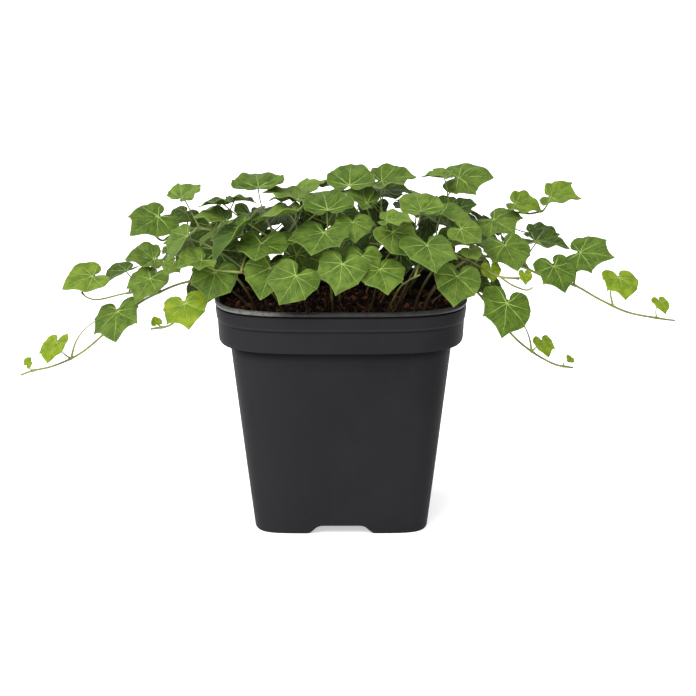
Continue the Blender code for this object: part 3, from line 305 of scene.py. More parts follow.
# The leaves seen in the picture: vine or None, joint, tip, width in millimetres, how far the face looks
# up and how far it is turned to the right in degrees, how far behind the dome it is in millimetres, and
# whether the tip points away
SEEN_LEAVES = [
    ("vine_left_low", (27, 364), (31, 357), 5, 30, 0, 0, False),
    ("vine_left_low", (56.4, 342.2), (47.2, 363.2), 22, 25, -14, 2, False),
    ("vine_left_low", (117.5, 311.5), (115.5, 342.2), 32, 25, -6, -5, False),
    ("vine_left_low", (92.5, 276.5), (62, 289.5), 27, 33, -20, 4, False),
    ("vine_left_low", (127, 270), (104, 282.5), 17, 50, -45, 14, False),
    ("vine_left_low", (153.7, 259), (124.7, 259.6), 25, 60, 0, 10, False),
    ("vine_left_low", (150.5, 278), (135.5, 303.6), 27, 35, -16, -3, False),
    ("vine_left_front", (184.5, 303.5), (189, 330), 26, 30, 4, -7, False),
    ("vine_left_front", (156.5, 323.5), (154, 316), 3.5, 30, 35, -1, True),
    ("vine_left_upper", (158, 217), (129.6, 235.5), 32, 45, 0, 0, False),
    ("vine_left_upper", (182, 198), (200.5, 184), 24, 82, 0, 0, True),
    ("vine_left_upper", (186, 212), (175, 224), 18, 40, 0, 14, False),
    (None, (224, 220.5), (193, 217), 24, 80, 0, 0, False),
    (None, (225, 204), (197, 206.5), 22, 95, 0, 2, False),
    (None, (233, 200.5), (257, 202.5), 20, 95, 0, 22, False),
    (None, (187, 236), (167.5, 261), 20, 40, -52, 0, False),
    (None, (174, 262), (166, 275), 14, 40, 0, 20, False),
    (None, (202, 260.5), (177, 268), 24, 64, 0, -5, False),
    (None, (242, 228), (211.5, 261.5), 24, 40, -68, 0, False),
    (None, (262, 243.5), (255, 260), 31, 30, -3, 0, False),
    (None, (258, 188), (255, 173.5), 32, 74, 0, 0, True),
    (None, (303, 194.5), (325, 180.5), 19, 80, 0, 14, True),
    (None, (298, 199.5), (262, 192), 26, 84, 0, 4, True),
    (None, (292, 213.5), (251, 225.5), 28, 95, 0, 0, False),
    (None, (327, 210.5), (322, 191), 30, 72, 0, 0, True),
    (None, (323.5, 232.5), (311, 255.5), 32, 48, -10, 0, False),
    (None, (290, 236), (280, 243), 13, 50, 0, 10, False),
    (None, (353, 222), (355, 243), 22, 45, 0, -4, False),
    (None, (215.4, 272), (207.6, 303), 26, 25, 0, 0, False),
    (None, (270.5, 268), (260, 300), 22, 25, 0, -2, False),
    (None, (296.5, 276), (279, 304.9), 25, 25, 0, -6, False),
    (None, (342.6, 264.4), (335.7, 295.8), 25, 25, 0, -4, False),
    (None, (380, 269.5), (388, 295), 27, 30, 10, 0, False),
    (None, (363, 256), (364, 283), 17, 30, 0, 6, False),
    (None, (427, 245), (436, 273), 31, 42, 8, 0, False),
    ("vine_right_low", (457.4, 276.2), (453.6, 307.2), 27, 25, 0, -12, False),
    (None, (386, 221), (413, 221), 18, 76, 0, -3, False),
    (None, (393, 232), (415, 257), 28, 50, 20, -1, False),
    (None, (349, 185.5), (351, 163.5), 29, 74, 0, 0, True),
    (None, (382, 181), (417, 176.5), 27, 72, 0, 2, True),
    (None, (367, 203), (340, 190), 26, 76, 0, 6, True),
    (None, (384, 190), (413, 192.5), 22, 74, 0, 14, False),
    (None, (421, 211), (414, 191.5), 26, 68, 0, 0, True),
    (None, (440, 214), (475, 224), 28, 84, 0, 4, False),
    (None, (458, 177.5), (494, 178), 28, 58, 0, 0, False),
    (None, (446, 177.5), (420.5, 176.3), 18, 86, 0, 3, True),
    (None, (447, 207), (434, 198), 16, 60, 0, 14, True),
    (None, (459, 209), (477, 204), 16, 60, 0, 14, True),
    ("vine_right_upper", (493, 220), (515, 234), 29, 32, 0, -14, False),
    ("vine_right", (505, 245), (518, 271), 29, 35, 0, -4, False),
    (None, (455, 230), (474, 246), 24, 50, 0, 12, False),
    (None, (461, 229), (482, 242), 20, 50, 0, 4, False),
    (None, (470, 250), (478, 260), 13, 45, 0, 14, False),
    ("vine_right", (491, 268), (493, 282.5), 10, 30, 10, -14, False),
    ("vine_right_low", (490, 283.5), (490.5, 299), 13, 30, 0, 8, False),
    ("vine_right_low", (507.5, 303), (502, 338.5), 27, 22, 9, -6, False),
    ("vine_right_low", (542.5, 341.7), (549, 357.2), 11, 30, 20, -2, False),
    ("vine_right_low", (570, 361), (567, 354), 3.2, 30, 30, 0, True),
    ("vine_right", (619, 278), (626, 300), 23, 32, -4, -2, False),
    ("vine_right", (660, 301.5), (666, 314.4), 9, 30, 12, -1, False),
    ("vine_right", (554, 266), (565.5, 293), 24, 30, 5, -6, False),
    ("vine_right", (580.5, 252.5), (615, 257.5), 24, 44, 0, 8, False),
    ("vine_right", (535, 241), (570, 248.8), 22, 80, 0, 14, False),
    ("vine_right_upper", (532, 233), (558, 234.5), 20, 74, 0, 20, False),
    ("vine_right_upper", (515, 204), (541.5, 210.5), 23, 64, 0, -4, False),
    ("vine_right_upper", (550.5, 197), (582, 198.5), 24, 64, 0, 0, False),
    ("vine_right_shoot", (524.8, 274), (526, 285), 6, 20, 20, -1, False),
]

# Where petioles of the picture were seen to leave their stem and to bend, by the joint of their leaf.
# The last value is how far the bend lies behind the joint in millimetres
SEEN_PETIOLES = {
    (27, 364): ((33, 370.6), (29, 369), 2),
    (56.4, 342.2): ((71, 358.6), (62, 354), 4),
    (117.5, 311.5): ((71, 358.6), (76, 322), 12),
    (92.5, 276.5): ((82, 293), (85, 286), 6),
    (507.5, 303): ((531.7, 351.5), (530, 325), 9),
    (542.5, 341.7): ((537, 354), (536, 347), 3),
    (570, 361): ((564, 366), (563, 360), 2),
    (532, 233): ((500, 217), (512, 232), 6),
    (182, 198): ((200, 228), (192, 213), 5),
    (619, 278): ((613, 305), (606, 284), 6),
    (660, 301.5): ((656.6, 318), (654, 306), 3),
    (554, 266): ((543, 275.8), (541, 260), 7),
    (158, 217): ((172.5, 233.7), (160, 230), 6),
}

draw = random.Random(SEED)
placed = []


def corners(points):
    """The lowest and the highest corner of the box round some points."""
    return [[pick(p[i] for p in points) for i in range(3)] for pick in (min, max)]


def remember(kind, vine, shape):
    """Keeps a shape's surface as something that later leaves have to clear."""
    placed.append((kind, vine, *corners(shape[0]), BVHTree.FromPolygons(*shape, all_triangles=False)))


def clears(kind, vine, shape):
    """True if a shape crosses nothing but what it grows from."""
    low, high = corners(shape[0])
    tree = None
    for other, owner, other_low, other_high, other_tree in placed:
        if any(low[i] > other_high[i] or high[i] < other_low[i] for i in range(3)):
            continue
        if kind == "petiole" and owner == vine and other in ("stem", "petiole"):
            continue
        if kind == "stem" and owner == vine:
            continue
        tree = tree or BVHTree.FromPolygons(*shape, all_triangles=False)
        if tree.overlap(other_tree):
            return False
    return True


def belt(rows, sides):
    """The faces between rows of points that go round a body."""
    pairs = [(i * sides + k, i * sides + (k + 1) % sides) for i in range(rows - 1) for k in range(sides)]
    return [(a, b, b + sides, a + sides) for a, b in pairs]


def tube_shape(path, radius, sides=6):
    """A closed tube round a path, as points and faces, for the test of what it crosses."""
    points = []
    for i, spot in enumerate(path):
        ahead = (path[min(i + 1, len(path) - 1)] - path[max(i - 1, 0)]).normalized()
        side = ahead.cross(Vector((0.31, 0.17, 0.93))).normalized()
        other = ahead.cross(side)
        for k in range(sides):
            angle = 2 * math.pi * k / sides
            points.append(spot + (side * math.cos(angle) + other * math.sin(angle)) * radius)
    caps = [tuple(range(sides)), tuple(range(len(points) - sides, len(points)))]
    return points, belt(len(path), sides) + caps


class Leaf:
    """A leaf blade: its joint, its tip, the way its face looks, its own wave and how it is curved."""

    def __init__(self, joint, tip, look, phase, curved=FACING):
        self.joint = joint
        self.length = (tip - joint).length
        self.along = (tip - joint).normalized()
        self.face = (look - self.along * look.dot(self.along)).normalized()
        self.side = self.along.cross(self.face)
        self.phase = phase
        self.curved = curved
        self.stalk = None

    def point(self, x, y):
        """A point of the blade: x across and y along, both in leaf lengths. The edge is uneven and a little
        lopsided, and the surface arches, rolls, cups, droops at the points of its lobes and waves."""
        angle = math.atan2(x, y + 0.05)
        aside = min(abs(x) * 4, 1)
        waver = math.sin(2 * angle + 3 * self.phase) + 0.7 * math.sin(5 * angle + self.phase)
        own = 1 + UNEVEN * aside * waver
        x *= own * (1 + LOPSIDED * math.sin(5 * self.phase) * math.copysign(1, x))
        y *= own * (self.curved["base"] if y < 0 else 1)
        reach = math.hypot(x, y)
        lift = self.curved["arch"] * max(y, 0) * (1 - y) + 0.05 * abs(x) + self.curved["roll"] * x * x
        lift += self.curved["cup"] * max(-y, 0)
        lift -= self.curved["droop"] * reach * math.cos(2 * math.pi * angle / POINTS_APART) * aside
        lift += WAVE * reach * math.sin(3 * angle + self.phase) * aside
        return self.joint + (self.side * x + self.along * y + self.face * lift) * self.length

    def blade(self):
        """The open surface of the blade: triangles that fan out from the crest of its midrib."""
        outline = [(0, 0)] + HALF_LEAF + [(0, 1)] + [(-x, y) for x, y in reversed(HALF_LEAF)]
        points = [self.point(x, y) for x, y in outline + [(0, MIDRIB_CREST)]]
        count = len(outline)
        return points, [(count, (i + 1) % count, i) for i in range(count)]

    def shape(self, half):
        """The blade as a closed shape that reaches half to both sides of its surface."""
        points, faces = self.blade()
        count = len(points)
        edge = count - 1
        rim = [(i, (i + 1) % edge, (i + 1) % edge + count, i + count) for i in range(edge)]
        back = [tuple(i + count for i in reversed(face)) for face in faces]
        both = [p + self.face * half for p in points] + [p - self.face * half for p in points]
        return both, faces + back + rim


def facing(turn, rise):
    """The way a face looks that is turned to the right and up from the viewer's side, in radians."""
    return Vector((math.sin(turn) * math.cos(rise), -math.cos(turn) * math.cos(rise), math.sin(rise)))


def leaf_seen(joint_spot, tip_spot, depth, width, up, turned, away, phase):
    """A leaf from where its joint and tip were seen. Its real length tells how far the tip leans."""
    joint = seen_at(joint_spot, depth)
    flat = seen_at(tip_spot, depth) - joint
    length = max(width * MM / LEAF_WIDTH, flat.length * 1.001)
    step = sight(tip_spot)
    a, b, c = step.dot(step), step.dot(flat), flat.dot(flat) - length * length
    root = math.sqrt(max(b * b - a * c, 0))
    lean = (-b + root) / a if away else (-b - root) / a
    tip = joint + flat + step * lean
    look = facing(CROWN_TURN * joint.x + math.radians(turned), math.radians(up))
    if away or up >= FLAT_RISE:
        return Leaf(joint, tip, look, phase, LYING)
    share = min(1, abs(turned) / FOLD_TURN)
    curved = {name: FACING[name] + share * (FOLDED[name] - FACING[name]) for name in FACING}
    curved["cup"] += CUP_GAIN * max(0, CUP_FROM - flat.length / length)
    return Leaf(joint, tip, look, phase, curved)


def smooth(points, steps):
    """A smooth path through points, with that many steps between each pair."""
    path = []
    ends = [points[0] * 2 - points[1]] + list(points) + [points[-1] * 2 - points[-2]]
    for i in range(1, len(ends) - 2):
        p, q, r, s = ends[i - 1:i + 3]
        for k in range(steps):
            t = k / steps
            path.append(0.5 * (q * 2 + (r - p) * t + (p * 2 - q * 5 + r * 4 - s) * t ** 2
                               + (q * 3 - p - r * 3 + s) * t ** 3))
    path.append(points[-1])
    return path


def bow(start, bend, end, steps):
    """A path that leaves start and reaches end, pulled towards bend."""
    shares = [k / steps for k in range(steps + 1)]
    return [start.lerp(bend, t).lerp(bend.lerp(end, t), t) for t in shares]


class Vine:
    """A rooted vine: its stems, and the leaves that grow from them."""

    def __init__(self, name, radius):
        self.name = name
        self.radius = radius
        self.stems = []
        self.petioles = []
        self.leaves = []

    def grow(self, path):
        """Adds a stem."""
        self.stems.append(path)
        remember("stem", self.name, tube_shape(path, self.radius))

    def nearest(self, spot):
        """Places on the stems from which a petiole could reach a spot, the nearest first."""
        found = []
        for path in self.stems:
            for a, b in zip(path[1:], path[2:] + [None]):
                found.append(a)
                if b is not None:
                    found.append(a.lerp(b, 0.5))
        high = [p for p in found if p.z > LEAST_START or max(abs(p.x), abs(p.y)) > LIP_HALF]
        return sorted(high or found, key=lambda p: (p - spot).length)

    def petiole_to(self, leaf, start, swing):
        """The path of a petiole, which reaches the joint from below and behind the blade."""
        end = leaf.joint + leaf.along * JOINT_INSET * leaf.length
        aside, up = swing
        if leaf.stalk:
            bend = leaf.stalk[1] + (leaf.side * aside + Vector((0, 0, up))) * leaf.length
            return bow(start, bend, end, SEEN_PETIOLE_STEPS)
        reach = (end - start).length
        arrive = (leaf.along * ARRIVE_ALONG + leaf.face * ARRIVE_UP).normalized()
        bend = end - arrive * reach * BEND_BACK + (leaf.side * aside + Vector((0, 0, up))) * reach
        return bow(start, bend, end, 3 if reach > LONG_PETIOLE else 2)

    def take(self, leaf):
        """Grows a leaf on the vine if its petiole can come to it clear of all else."""
        wished = leaf.stalk[0] if leaf.stalk else leaf.joint
        starts = [p for p in self.nearest(wished)
                  if LEAST_PETIOLE * leaf.length < (p - leaf.joint).length < LONGEST_REACH]
        for start in starts[:NEAR_STARTS:2]:
            for swing in SWINGS:
                path = self.petiole_to(leaf, start, swing)
                if clears("petiole", self.name, tube_shape(path, self.petiole_radius(leaf) + CLEAR)):
                    self.keep(leaf, path)
                    return True
        return False

    def petiole_radius(self, leaf):
        """Small leaves have thinner petioles."""
        return PETIOLE_RADIUS if leaf.length > SMALL_LEAF else THIN_PETIOLE

    def keep(self, leaf, path):
        """Adds a leaf with its petiole, and makes room for both."""
        self.leaves.append(leaf)
        self.petioles.append((path, self.petiole_radius(leaf)))
        remember("petiole", self.name, tube_shape(path, self.petiole_radius(leaf)))
        remember("blade", self.name, leaf.shape(BLADE_THICK / 2))


def ring(half, square, z, count):
    """A rounded square, as the points of a superellipse."""
    points = []
    for k in range(count):
        angle = 2 * math.pi * (k + 0.5) / count
        c, s = math.cos(angle), math.sin(angle)
        points.append(Vector((half * math.copysign(abs(c) ** (2 / square), c),
                              half * math.copysign(abs(s) ** (2 / square), s), z)))
    return points


def loft(rings):
    """The points and faces of a closed body through rings, from the lower outside to its last ring."""
    count = len(rings[0])
    points = [p for level in rings for p in level]
    bottom = tuple(reversed(range(count)))
    top = tuple(range(len(points) - count, len(points)))
    return points, [bottom, *belt(len(rings), count), top]


def pot_rings():
    """The pot's wall from the outer edge of its base, over the lip, to the inner floor."""
    body, rim, n = BODY_SQUARE, RIM_SQUARE, POT_SIDES
    return [
        ring(BASE_HALF - 0.8 * MM, BASE_SQUARE, 0, n),
        ring(BASE_HALF, BASE_SQUARE, 1.0 * MM, n),
        ring(BODY_TOP_HALF, body, SKIRT_BOTTOM, n),
        ring(SKIRT_HALF, rim, SKIRT_BOTTOM, n),
        ring(SKIRT_HALF + 0.9 * MM, rim, STEP_HEIGHT, n),
        ring(STEP_HALF, rim, STEP_HEIGHT + 0.5 * MM, n),
        ring(LIP_HALF, rim, POT_HEIGHT - 1.0 * MM, n),
        ring(LIP_HALF - 0.7 * MM, rim, POT_HEIGHT, n),
        ring(LIP_HALF - WALL - 0.3 * MM, rim, POT_HEIGHT - 0.3 * MM, n),
        ring(inner_rim(STEP_HEIGHT), rim, STEP_HEIGHT, n),
        ring(inner_rim(SKIRT_BOTTOM), rim, LEDGE_HEIGHT, n),
        ring(INNER_TOP_HALF, body, LEDGE_HEIGHT, n),
        ring(FLOOR_HALF, BASE_SQUARE, FLOOR_TOP, n),
    ]


def inner_rim(z):
    """Half the inner width of the rim at a height."""
    share = (z - SKIRT_BOTTOM) / (POT_HEIGHT - SKIRT_BOTTOM)
    return SKIRT_HALF - WALL + share * (LIP_HALF - SKIRT_HALF)


def lumps(x, y, layers):
    """Noise over the mix in layers: the level at which each is taken, its scale and its share."""
    return sum(noise.noise(Vector((x, y, level)) * scale) * share for level, scale, share in layers)


def soil_height(x, y):
    """The lumpy top of the mix, a little higher towards the left."""
    return SOIL_TOP + SOIL_LUMP * lumps(x, y, SOIL_LAYERS) - SOIL_SLOPE * x


def soil_edge():
    """Half the width of the mix at its top."""
    return inner_rim(SOIL_TOP) - SOIL_GAP


def soil_rings(levels, height, sides):
    """The mix from the floor up along the pot's inner wall, then inwards over its top: each level is a
    share of the edge's half width and how square it is there."""
    rings = [
        ring(FLOOR_HALF - SOIL_GAP, BASE_SQUARE, FLOOR_TOP + SOIL_GAP, sides),
        ring(INNER_TOP_HALF - SOIL_GAP, BODY_SQUARE, LEDGE_HEIGHT + SOIL_GAP, sides),
        ring(inner_rim(SKIRT_BOTTOM) - SOIL_GAP, RIM_SQUARE, LEDGE_HEIGHT + SOIL_GAP, sides),
    ]
    for share, square in levels:
        level = ring(soil_edge() * share, square, 0, sides)
        rings.append([Vector((p.x, p.y, height(p.x, p.y))) for p in level])
    return rings


def plain_soil():
    """The mix as the part has it, with a flat place in the middle of its top."""
    rings = soil_rings(SOIL_LEVELS, soil_height, POT_SIDES)
    flat = sum(p.z for p in rings[-1]) / POT_SIDES
    rings[-1] = [Vector((p.x, p.y, flat)) for p in rings[-1]]
    return loft(rings)


def plant(name, radius, path):
    """Adds a vine with its first stem."""
    vine = Vine(name, radius)
    vine.grow(path)
    vines.append(vine)


def vine_named(name):
    """The vine of that name."""
    return next(v for v in vines if v.name == name)


def crown_vines():
    """Short vines in rows over the soil, each a little off its place in the row."""
    for y, columns in CROWN_ROWS.items():
        for x in columns:
            for _ in range(ROOT_TRIES):
                off = draw.uniform(-ROOT_SCATTER, ROOT_SCATTER), draw.uniform(-ROOT_SCATTER, ROOT_SCATTER)
                path = crown_path(Vector((x + off[0], y + off[1], 0)) * MM)
                if clears("stem", "new", tube_shape(path, CROWN_RADIUS + CLEAR)):
                    plant(f"vine_crown_{len(vines) + 1:02d}", CROWN_RADIUS, path)
                    break


def rooted(x, y):
    """The end of a stem in its hole, and where it leaves the mix."""
    start = Vector((x, y, soil_height(x, y) - HOLE_DEPTH + ROOT_GAP))
    return start, Vector((x, y, start.z + HOLE_DEPTH))


def crown_path(root):
    """A stem that leans out from the middle, the more the further out it is rooted."""
    start, surface = rooted(root.x, root.y)
    out = Vector((root.x * CROWN_LEAN[0], root.y * CROWN_LEAN[1], 0))
    centre = 1 - min((root.x / CROWN_WIDE) ** 2 + (root.y / CROWN_WIDE) ** 2, 1)
    top = Vector((root.x, root.y, (CROWN_EDGE + CROWN_RISE * centre) * MM)) + out
    neck = Vector((root.x, root.y, start.z + HOLE_DEPTH + 6 * MM)) + out * 0.12
    middle = neck.lerp(top, 0.5) + Vector((0, 0, 5 * MM)) - out * 0.06
    return [start, surface] + smooth([neck, middle, top], 2)


def runner_path(root, points):
    """A stem that rises from its root and goes on through points."""
    start, surface = rooted(root[0] * MM, root[1] * MM)
    neck = surface.lerp(points[0], 0.3) + Vector((0, 0, 7 * MM))
    return [start, surface] + smooth([neck] + points, 1)


def seen_points(spots):
    """The places of points of the picture, each with its depth in millimetres."""
    return [seen_at((x, y), depth * MM) for x, y, depth in spots]


def grow_runners():
    """The runners of the picture, those behind, and the side shoots."""
    for name, runner in RUNNERS.items():
        plant(name, RUNNER_RADIUS, runner_path(runner["root"], seen_points(runner["seen"])))
    for name, points in BACK_RUNNERS.items():
        plant(name, RUNNER_RADIUS, runner_path(points[0], [Vector(p) * MM for p in points[1:]]))
    for name, spots in SIDE_SHOOTS:
        vine_named(name).grow(seen_points(spots))


def stem_depth(vine, spot):
    """The depth of a vine's stem where it was seen nearest to a spot."""
    def gap(place):
        want = seen_at(spot, place.y)
        return math.hypot(want.x - place.x, want.z - place.z)
    return min((p for path in vine.stems for p in path[2:]), key=gap).y


def away_from(vine, leaf):
    """How far a leaf's joint is from the nearest place on a vine that could carry it."""
    return (vine.nearest(leaf.joint)[0] - leaf.joint).length


def homes_for(leaf, kind="", crowding=0.0, tried=HOMES_TRIED):
    """The vines of a kind that could carry a leaf, the nearest first. Each leaf that one has already
    counts as so much further away."""
    free = [v for v in vines if len(v.leaves) < MOST_LEAVES and kind in v.name]
    return sorted(free, key=lambda v: away_from(v, leaf) + len(v.leaves) * crowding)[:tried]


def fits(leaf):
    """True if a leaf's blade is clear of all else."""
    return clears("blade", None, leaf.shape(BLADE_THICK / 2 + CLEAR))


def grow_seen_leaves():
    """Places the leaves of the picture. What would cross moves along its line of sight."""
    waiting = []
    for row in SEEN_LEAVES:
        own, joint, behind = row[0], row[1], row[6]
        depth = (stem_depth(vine_named(own), joint) if own else dome_depth(joint)) + behind * MM
        waiting.append((depth, row, draw.uniform(0, ROUND)))
    waiting.sort(key=lambda entry: entry[0])
    for depth, (own, joint, tip, width, up, turned, _, away), phase in waiting:
        any(settle(own, joint, tip, depth + push * MM, width, up, turned, away, phase) for push in PUSHES)


def settle(own, joint, tip, depth, width, up, turned, away, phase):
    """Grows one leaf of the picture at that depth, if it fits there."""
    leaf = leaf_seen(joint, tip, depth, width, up, turned, away, phase)
    if joint in SEEN_PETIOLES:
        start, bend, behind = SEEN_PETIOLES[joint]
        leaf.stalk = (seen_at(start, stem_depth(vine_named(own), start)), seen_at(bend, depth + behind * MM))
    if not fits(leaf):
        return False
    homes = [vine_named(own)] if own else homes_for(leaf, "crown", MM, HOMES_TRIED + 1)
    return any(vine.take(leaf) for vine in homes)


def grow_back_leaves():
    """Fills the dome behind what was seen, each new leaf where the others leave most room."""
    grown = 0
    for _ in range(BACK_LEAVES * LEAF_TRIES):
        if grown == BACK_LEAVES:
            break
        spots = [back_spot() for _ in range(BACK_CHOICES)]
        joints = [leaf.joint for vine in vines for leaf in vine.leaves]
        joint, out = max(spots, key=lambda s: min((s[0] - j).length for j in joints))
        leaf = back_leaf(joint, out)
        if within_reach(leaf) and tucked(leaf) and fits(leaf):
            grown += any(vine.take(leaf) for vine in homes_for(leaf))


def open_sights():
    """Points of the picture in the crown through which nothing of the plant is seen."""
    spots = []
    for y in range(CROWN_SPOT[1] - CROWN_REACH[1], CROWN_SPOT[1] + CROWN_REACH[1], GAP_STEP):
        for x in range(CROWN_SPOT[0] - CROWN_REACH[0], CROWN_SPOT[0] + CROWN_REACH[0], GAP_STEP):
            if in_crown(x, y) and not hidden(sight((x, y)), placed):
                spots.append((x, y))
    return spots


def hidden(way, things, reach=2.0):
    """True if the viewer, who looks that way, sees one of these things within reach."""
    return any(tree.ray_cast(VIEWER, way, reach)[0] for *_, tree in things)


def in_crown(x, y):
    """True for a point of the picture in the crown."""
    across, up = (x - CROWN_SPOT[0]) / CROWN_REACH[0], (y - CROWN_SPOT[1]) / CROWN_REACH[1]
    return across ** 2 + up ** 2 < 1


def seen_spot(place):
    """Where a place was seen in the picture."""
    view = Euler((math.pi / 2 - VIEW_TILT, 0, VIEW_TURN)).to_matrix()
    local = view.inverted() @ (place - VIEWER)
    return (VIEW_MIDDLE + VIEW_FOCAL * local.x / -local.z, VIEW_MIDDLE - VIEW_FOCAL * local.y / -local.z)


def tucked(leaf):
    """True if the viewer sees a leaf only in the crown's gaps, or not at all, and no window is closed."""
    blade = BVHTree.FromPolygons(*leaf.blade())
    if any(blade.ray_cast(VIEWER, sight(spot))[0] for spot in WINDOWS):
        return False
    for point in leaf.blade()[0]:
        away = point - VIEWER
        if not in_crown(*seen_spot(point)) and not hidden(away, placed, away.length * 0.99):
            return False
    return True


def grow_gap_leaves():
    """Leaves inside the dome, each where the crown is still most open to the viewer."""
    spots = open_sights()
    near = 3 * GAP_STEP
    grown = 0
    while spots and grown < GAP_LEAVES:
        size = {s: sum(abs(s[0] - x) <= near and abs(s[1] - y) <= near for x, y in spots) for s in spots}
        spot = max(spots, key=size.get)
        if size[spot] < LEAST_GAP:
            break
        before = len(placed)
        if any(settle_inside(spot) for _ in range(LEAF_TRIES)):
            grown += 1
            spots = [s for s in spots if not hidden(sight(s), placed[before:])]
        if spot in spots:
            spots.remove(spot)


def settle_inside(spot):
    """Tries one leaf across a line of sight, with its face up and towards the viewer."""
    middle = seen_at(spot, dome_depth(spot) + draw.uniform(*INSIDE_DEPTHS) * MM)
    if abs(middle.y) > BACK_REACH - INSIDE_MARGIN:
        return False
    look = facing(draw.uniform(-1.2, 1.2), math.radians(draw.uniform(15, 60)))
    along = Vector((draw.uniform(-0.9, 0.9), -0.2, draw.uniform(-1, -0.2))).normalized()
    length = draw.uniform(*INSIDE_LENGTHS) * MM
    joint = middle - along * 0.3 * length
    leaf = Leaf(joint, joint + along * length, look, draw.uniform(0, ROUND))
    if not (within_reach(leaf) and tucked(leaf) and fits(leaf)):
        return False
    return any(vine.take(leaf) for vine in homes_for(leaf, "crown"))


def grow_trailing_leaves():
    """Leaves in turn on both sides of the runners behind, smaller towards their ends."""
    for vine in vines:
        if vine.name not in BACK_RUNNERS:
            continue
        path = smooth(vine.stems[0][3:], 3)
        for i, share in enumerate(TRAILING_SHARES):
            at = int(share * (len(path) - 1))
            spot = path[at]
            ahead = (path[at + 1] - spot).normalized()
            side = ahead.cross(Vector((0, 0, 1))).normalized() * (1 if i % 2 else -1)
            width = (TRAILING_WIDTH - TRAILING_TAPER * share) * MM
            joint = spot + side * width * 0.42 + Vector((0, 0, 0.34)) * width
            along = (ahead + side * 0.7 - Vector((0, 0, 0.35))).normalized()
            look = (Vector((0, 0.5, 1)) + side * 0.3).normalized()
            leaf = Leaf(joint, joint + along * width / LEAF_WIDTH, look, draw.uniform(0, ROUND))
            if within_reach(leaf) and fits(leaf):
                vine.take(leaf)


def within_reach(leaf):
    """True if a leaf doesn't reach back further than the part may."""
    return max(point.y for point in leaf.blade()[0]) < BACK_REACH


def back_spot():
    """A place in the back of the dome and the way out from its middle there."""
    turn = math.radians(draw.uniform(*BACK_ROUND))
    rise = math.radians(draw.choice((draw.uniform(*BACK_LOW), draw.uniform(*BACK_HIGH))))
    reach = draw.uniform(*BACK_SHARES)
    out = Vector((math.cos(turn) * math.cos(rise), math.sin(turn) * math.cos(rise), math.sin(rise)))
    return DOME_MIDDLE + Vector([out[i] * BACK_SIZE[i] * reach for i in range(3)]), out


def back_leaf(joint, out):
    """A leaf with its face up and out. It hangs the more the lower it grows on the dome."""
    flat = Vector((out.x, out.y, 0)).normalized()
    across = Vector((-flat.y, flat.x, 0)) * draw.uniform(-0.6, 0.6)
    down = Vector((0, 0, -1))
    along = (flat * (0.3 + 0.6 * out.z) + across + down * (1.1 - 0.8 * out.z)).normalized()
    length = draw.uniform(*BACK_LENGTHS) * MM
    look = (Vector((0, 0, 0.3 + out.z)) + flat * draw.uniform(0.5, 1.0)).normalized()
    return Leaf(joint, joint + along * length, look, draw.uniform(0, ROUND))


# The camera, the floor, the tilt, turn, strength and spread of the key light, and the white room, whose
# strength falls by its slope from left to right
LENS = 85.73
SENSOR = 36.0
CAMERA_END = 200
FLOOR_SIZE = 80
WHITE = (1, 1, 1, 1)
KEY_TILT = math.radians(42)
KEY_TURN = math.radians(-36)
KEY_ENERGY = 2.7
KEY_SPREAD = math.radians(42)
ROOM_MIDDLE = 1.10
ROOM_SLOPE = -0.30

# The rolled lip, the groove under it and where the lip's own material, with its painted highlight, starts,
# the rounding of the foot, the channels under the base, and the angle from which an edge of the pot is sharp
LIP_ROUND = 1.45 * MM
LIP_TOP = POT_HEIGHT + 1.5 * MM
GROOVE_HEIGHT = POT_HEIGHT - 1.4 * MM
LIP_MATERIAL_FROM = GROOVE_HEIGHT + 0.3 * MM
FOOT_ROUND = 1.4 * MM
NOTCH_ROUND = 2.2 * MM
NOTCH_REACH = 1.4 * BASE_HALF
POT_FINE_SIDES = 144
DRAIN_SIDES = 32
SHARP_EDGE = math.radians(38)

# The fine mix: its rings, how far its bed lies under the part's top, its roughness in layers, the grid on
# which crumbs are strewn, how far they stay from the pot, and how far the middle of a crumb lies over the
# bed as a share of its size
SOIL_RINGS = 44
SOIL_FINE_SIDES = 120
BED_SUNK = 0.6 * MM
BED_LAYERS = ((1.7, 420, 0.7), (3.1, 900, 0.4))
CRUMB_STEP = 2.3 * MM
CRUMB_MARGIN = 1.0 * MM
CRUMB_UP = 0.45

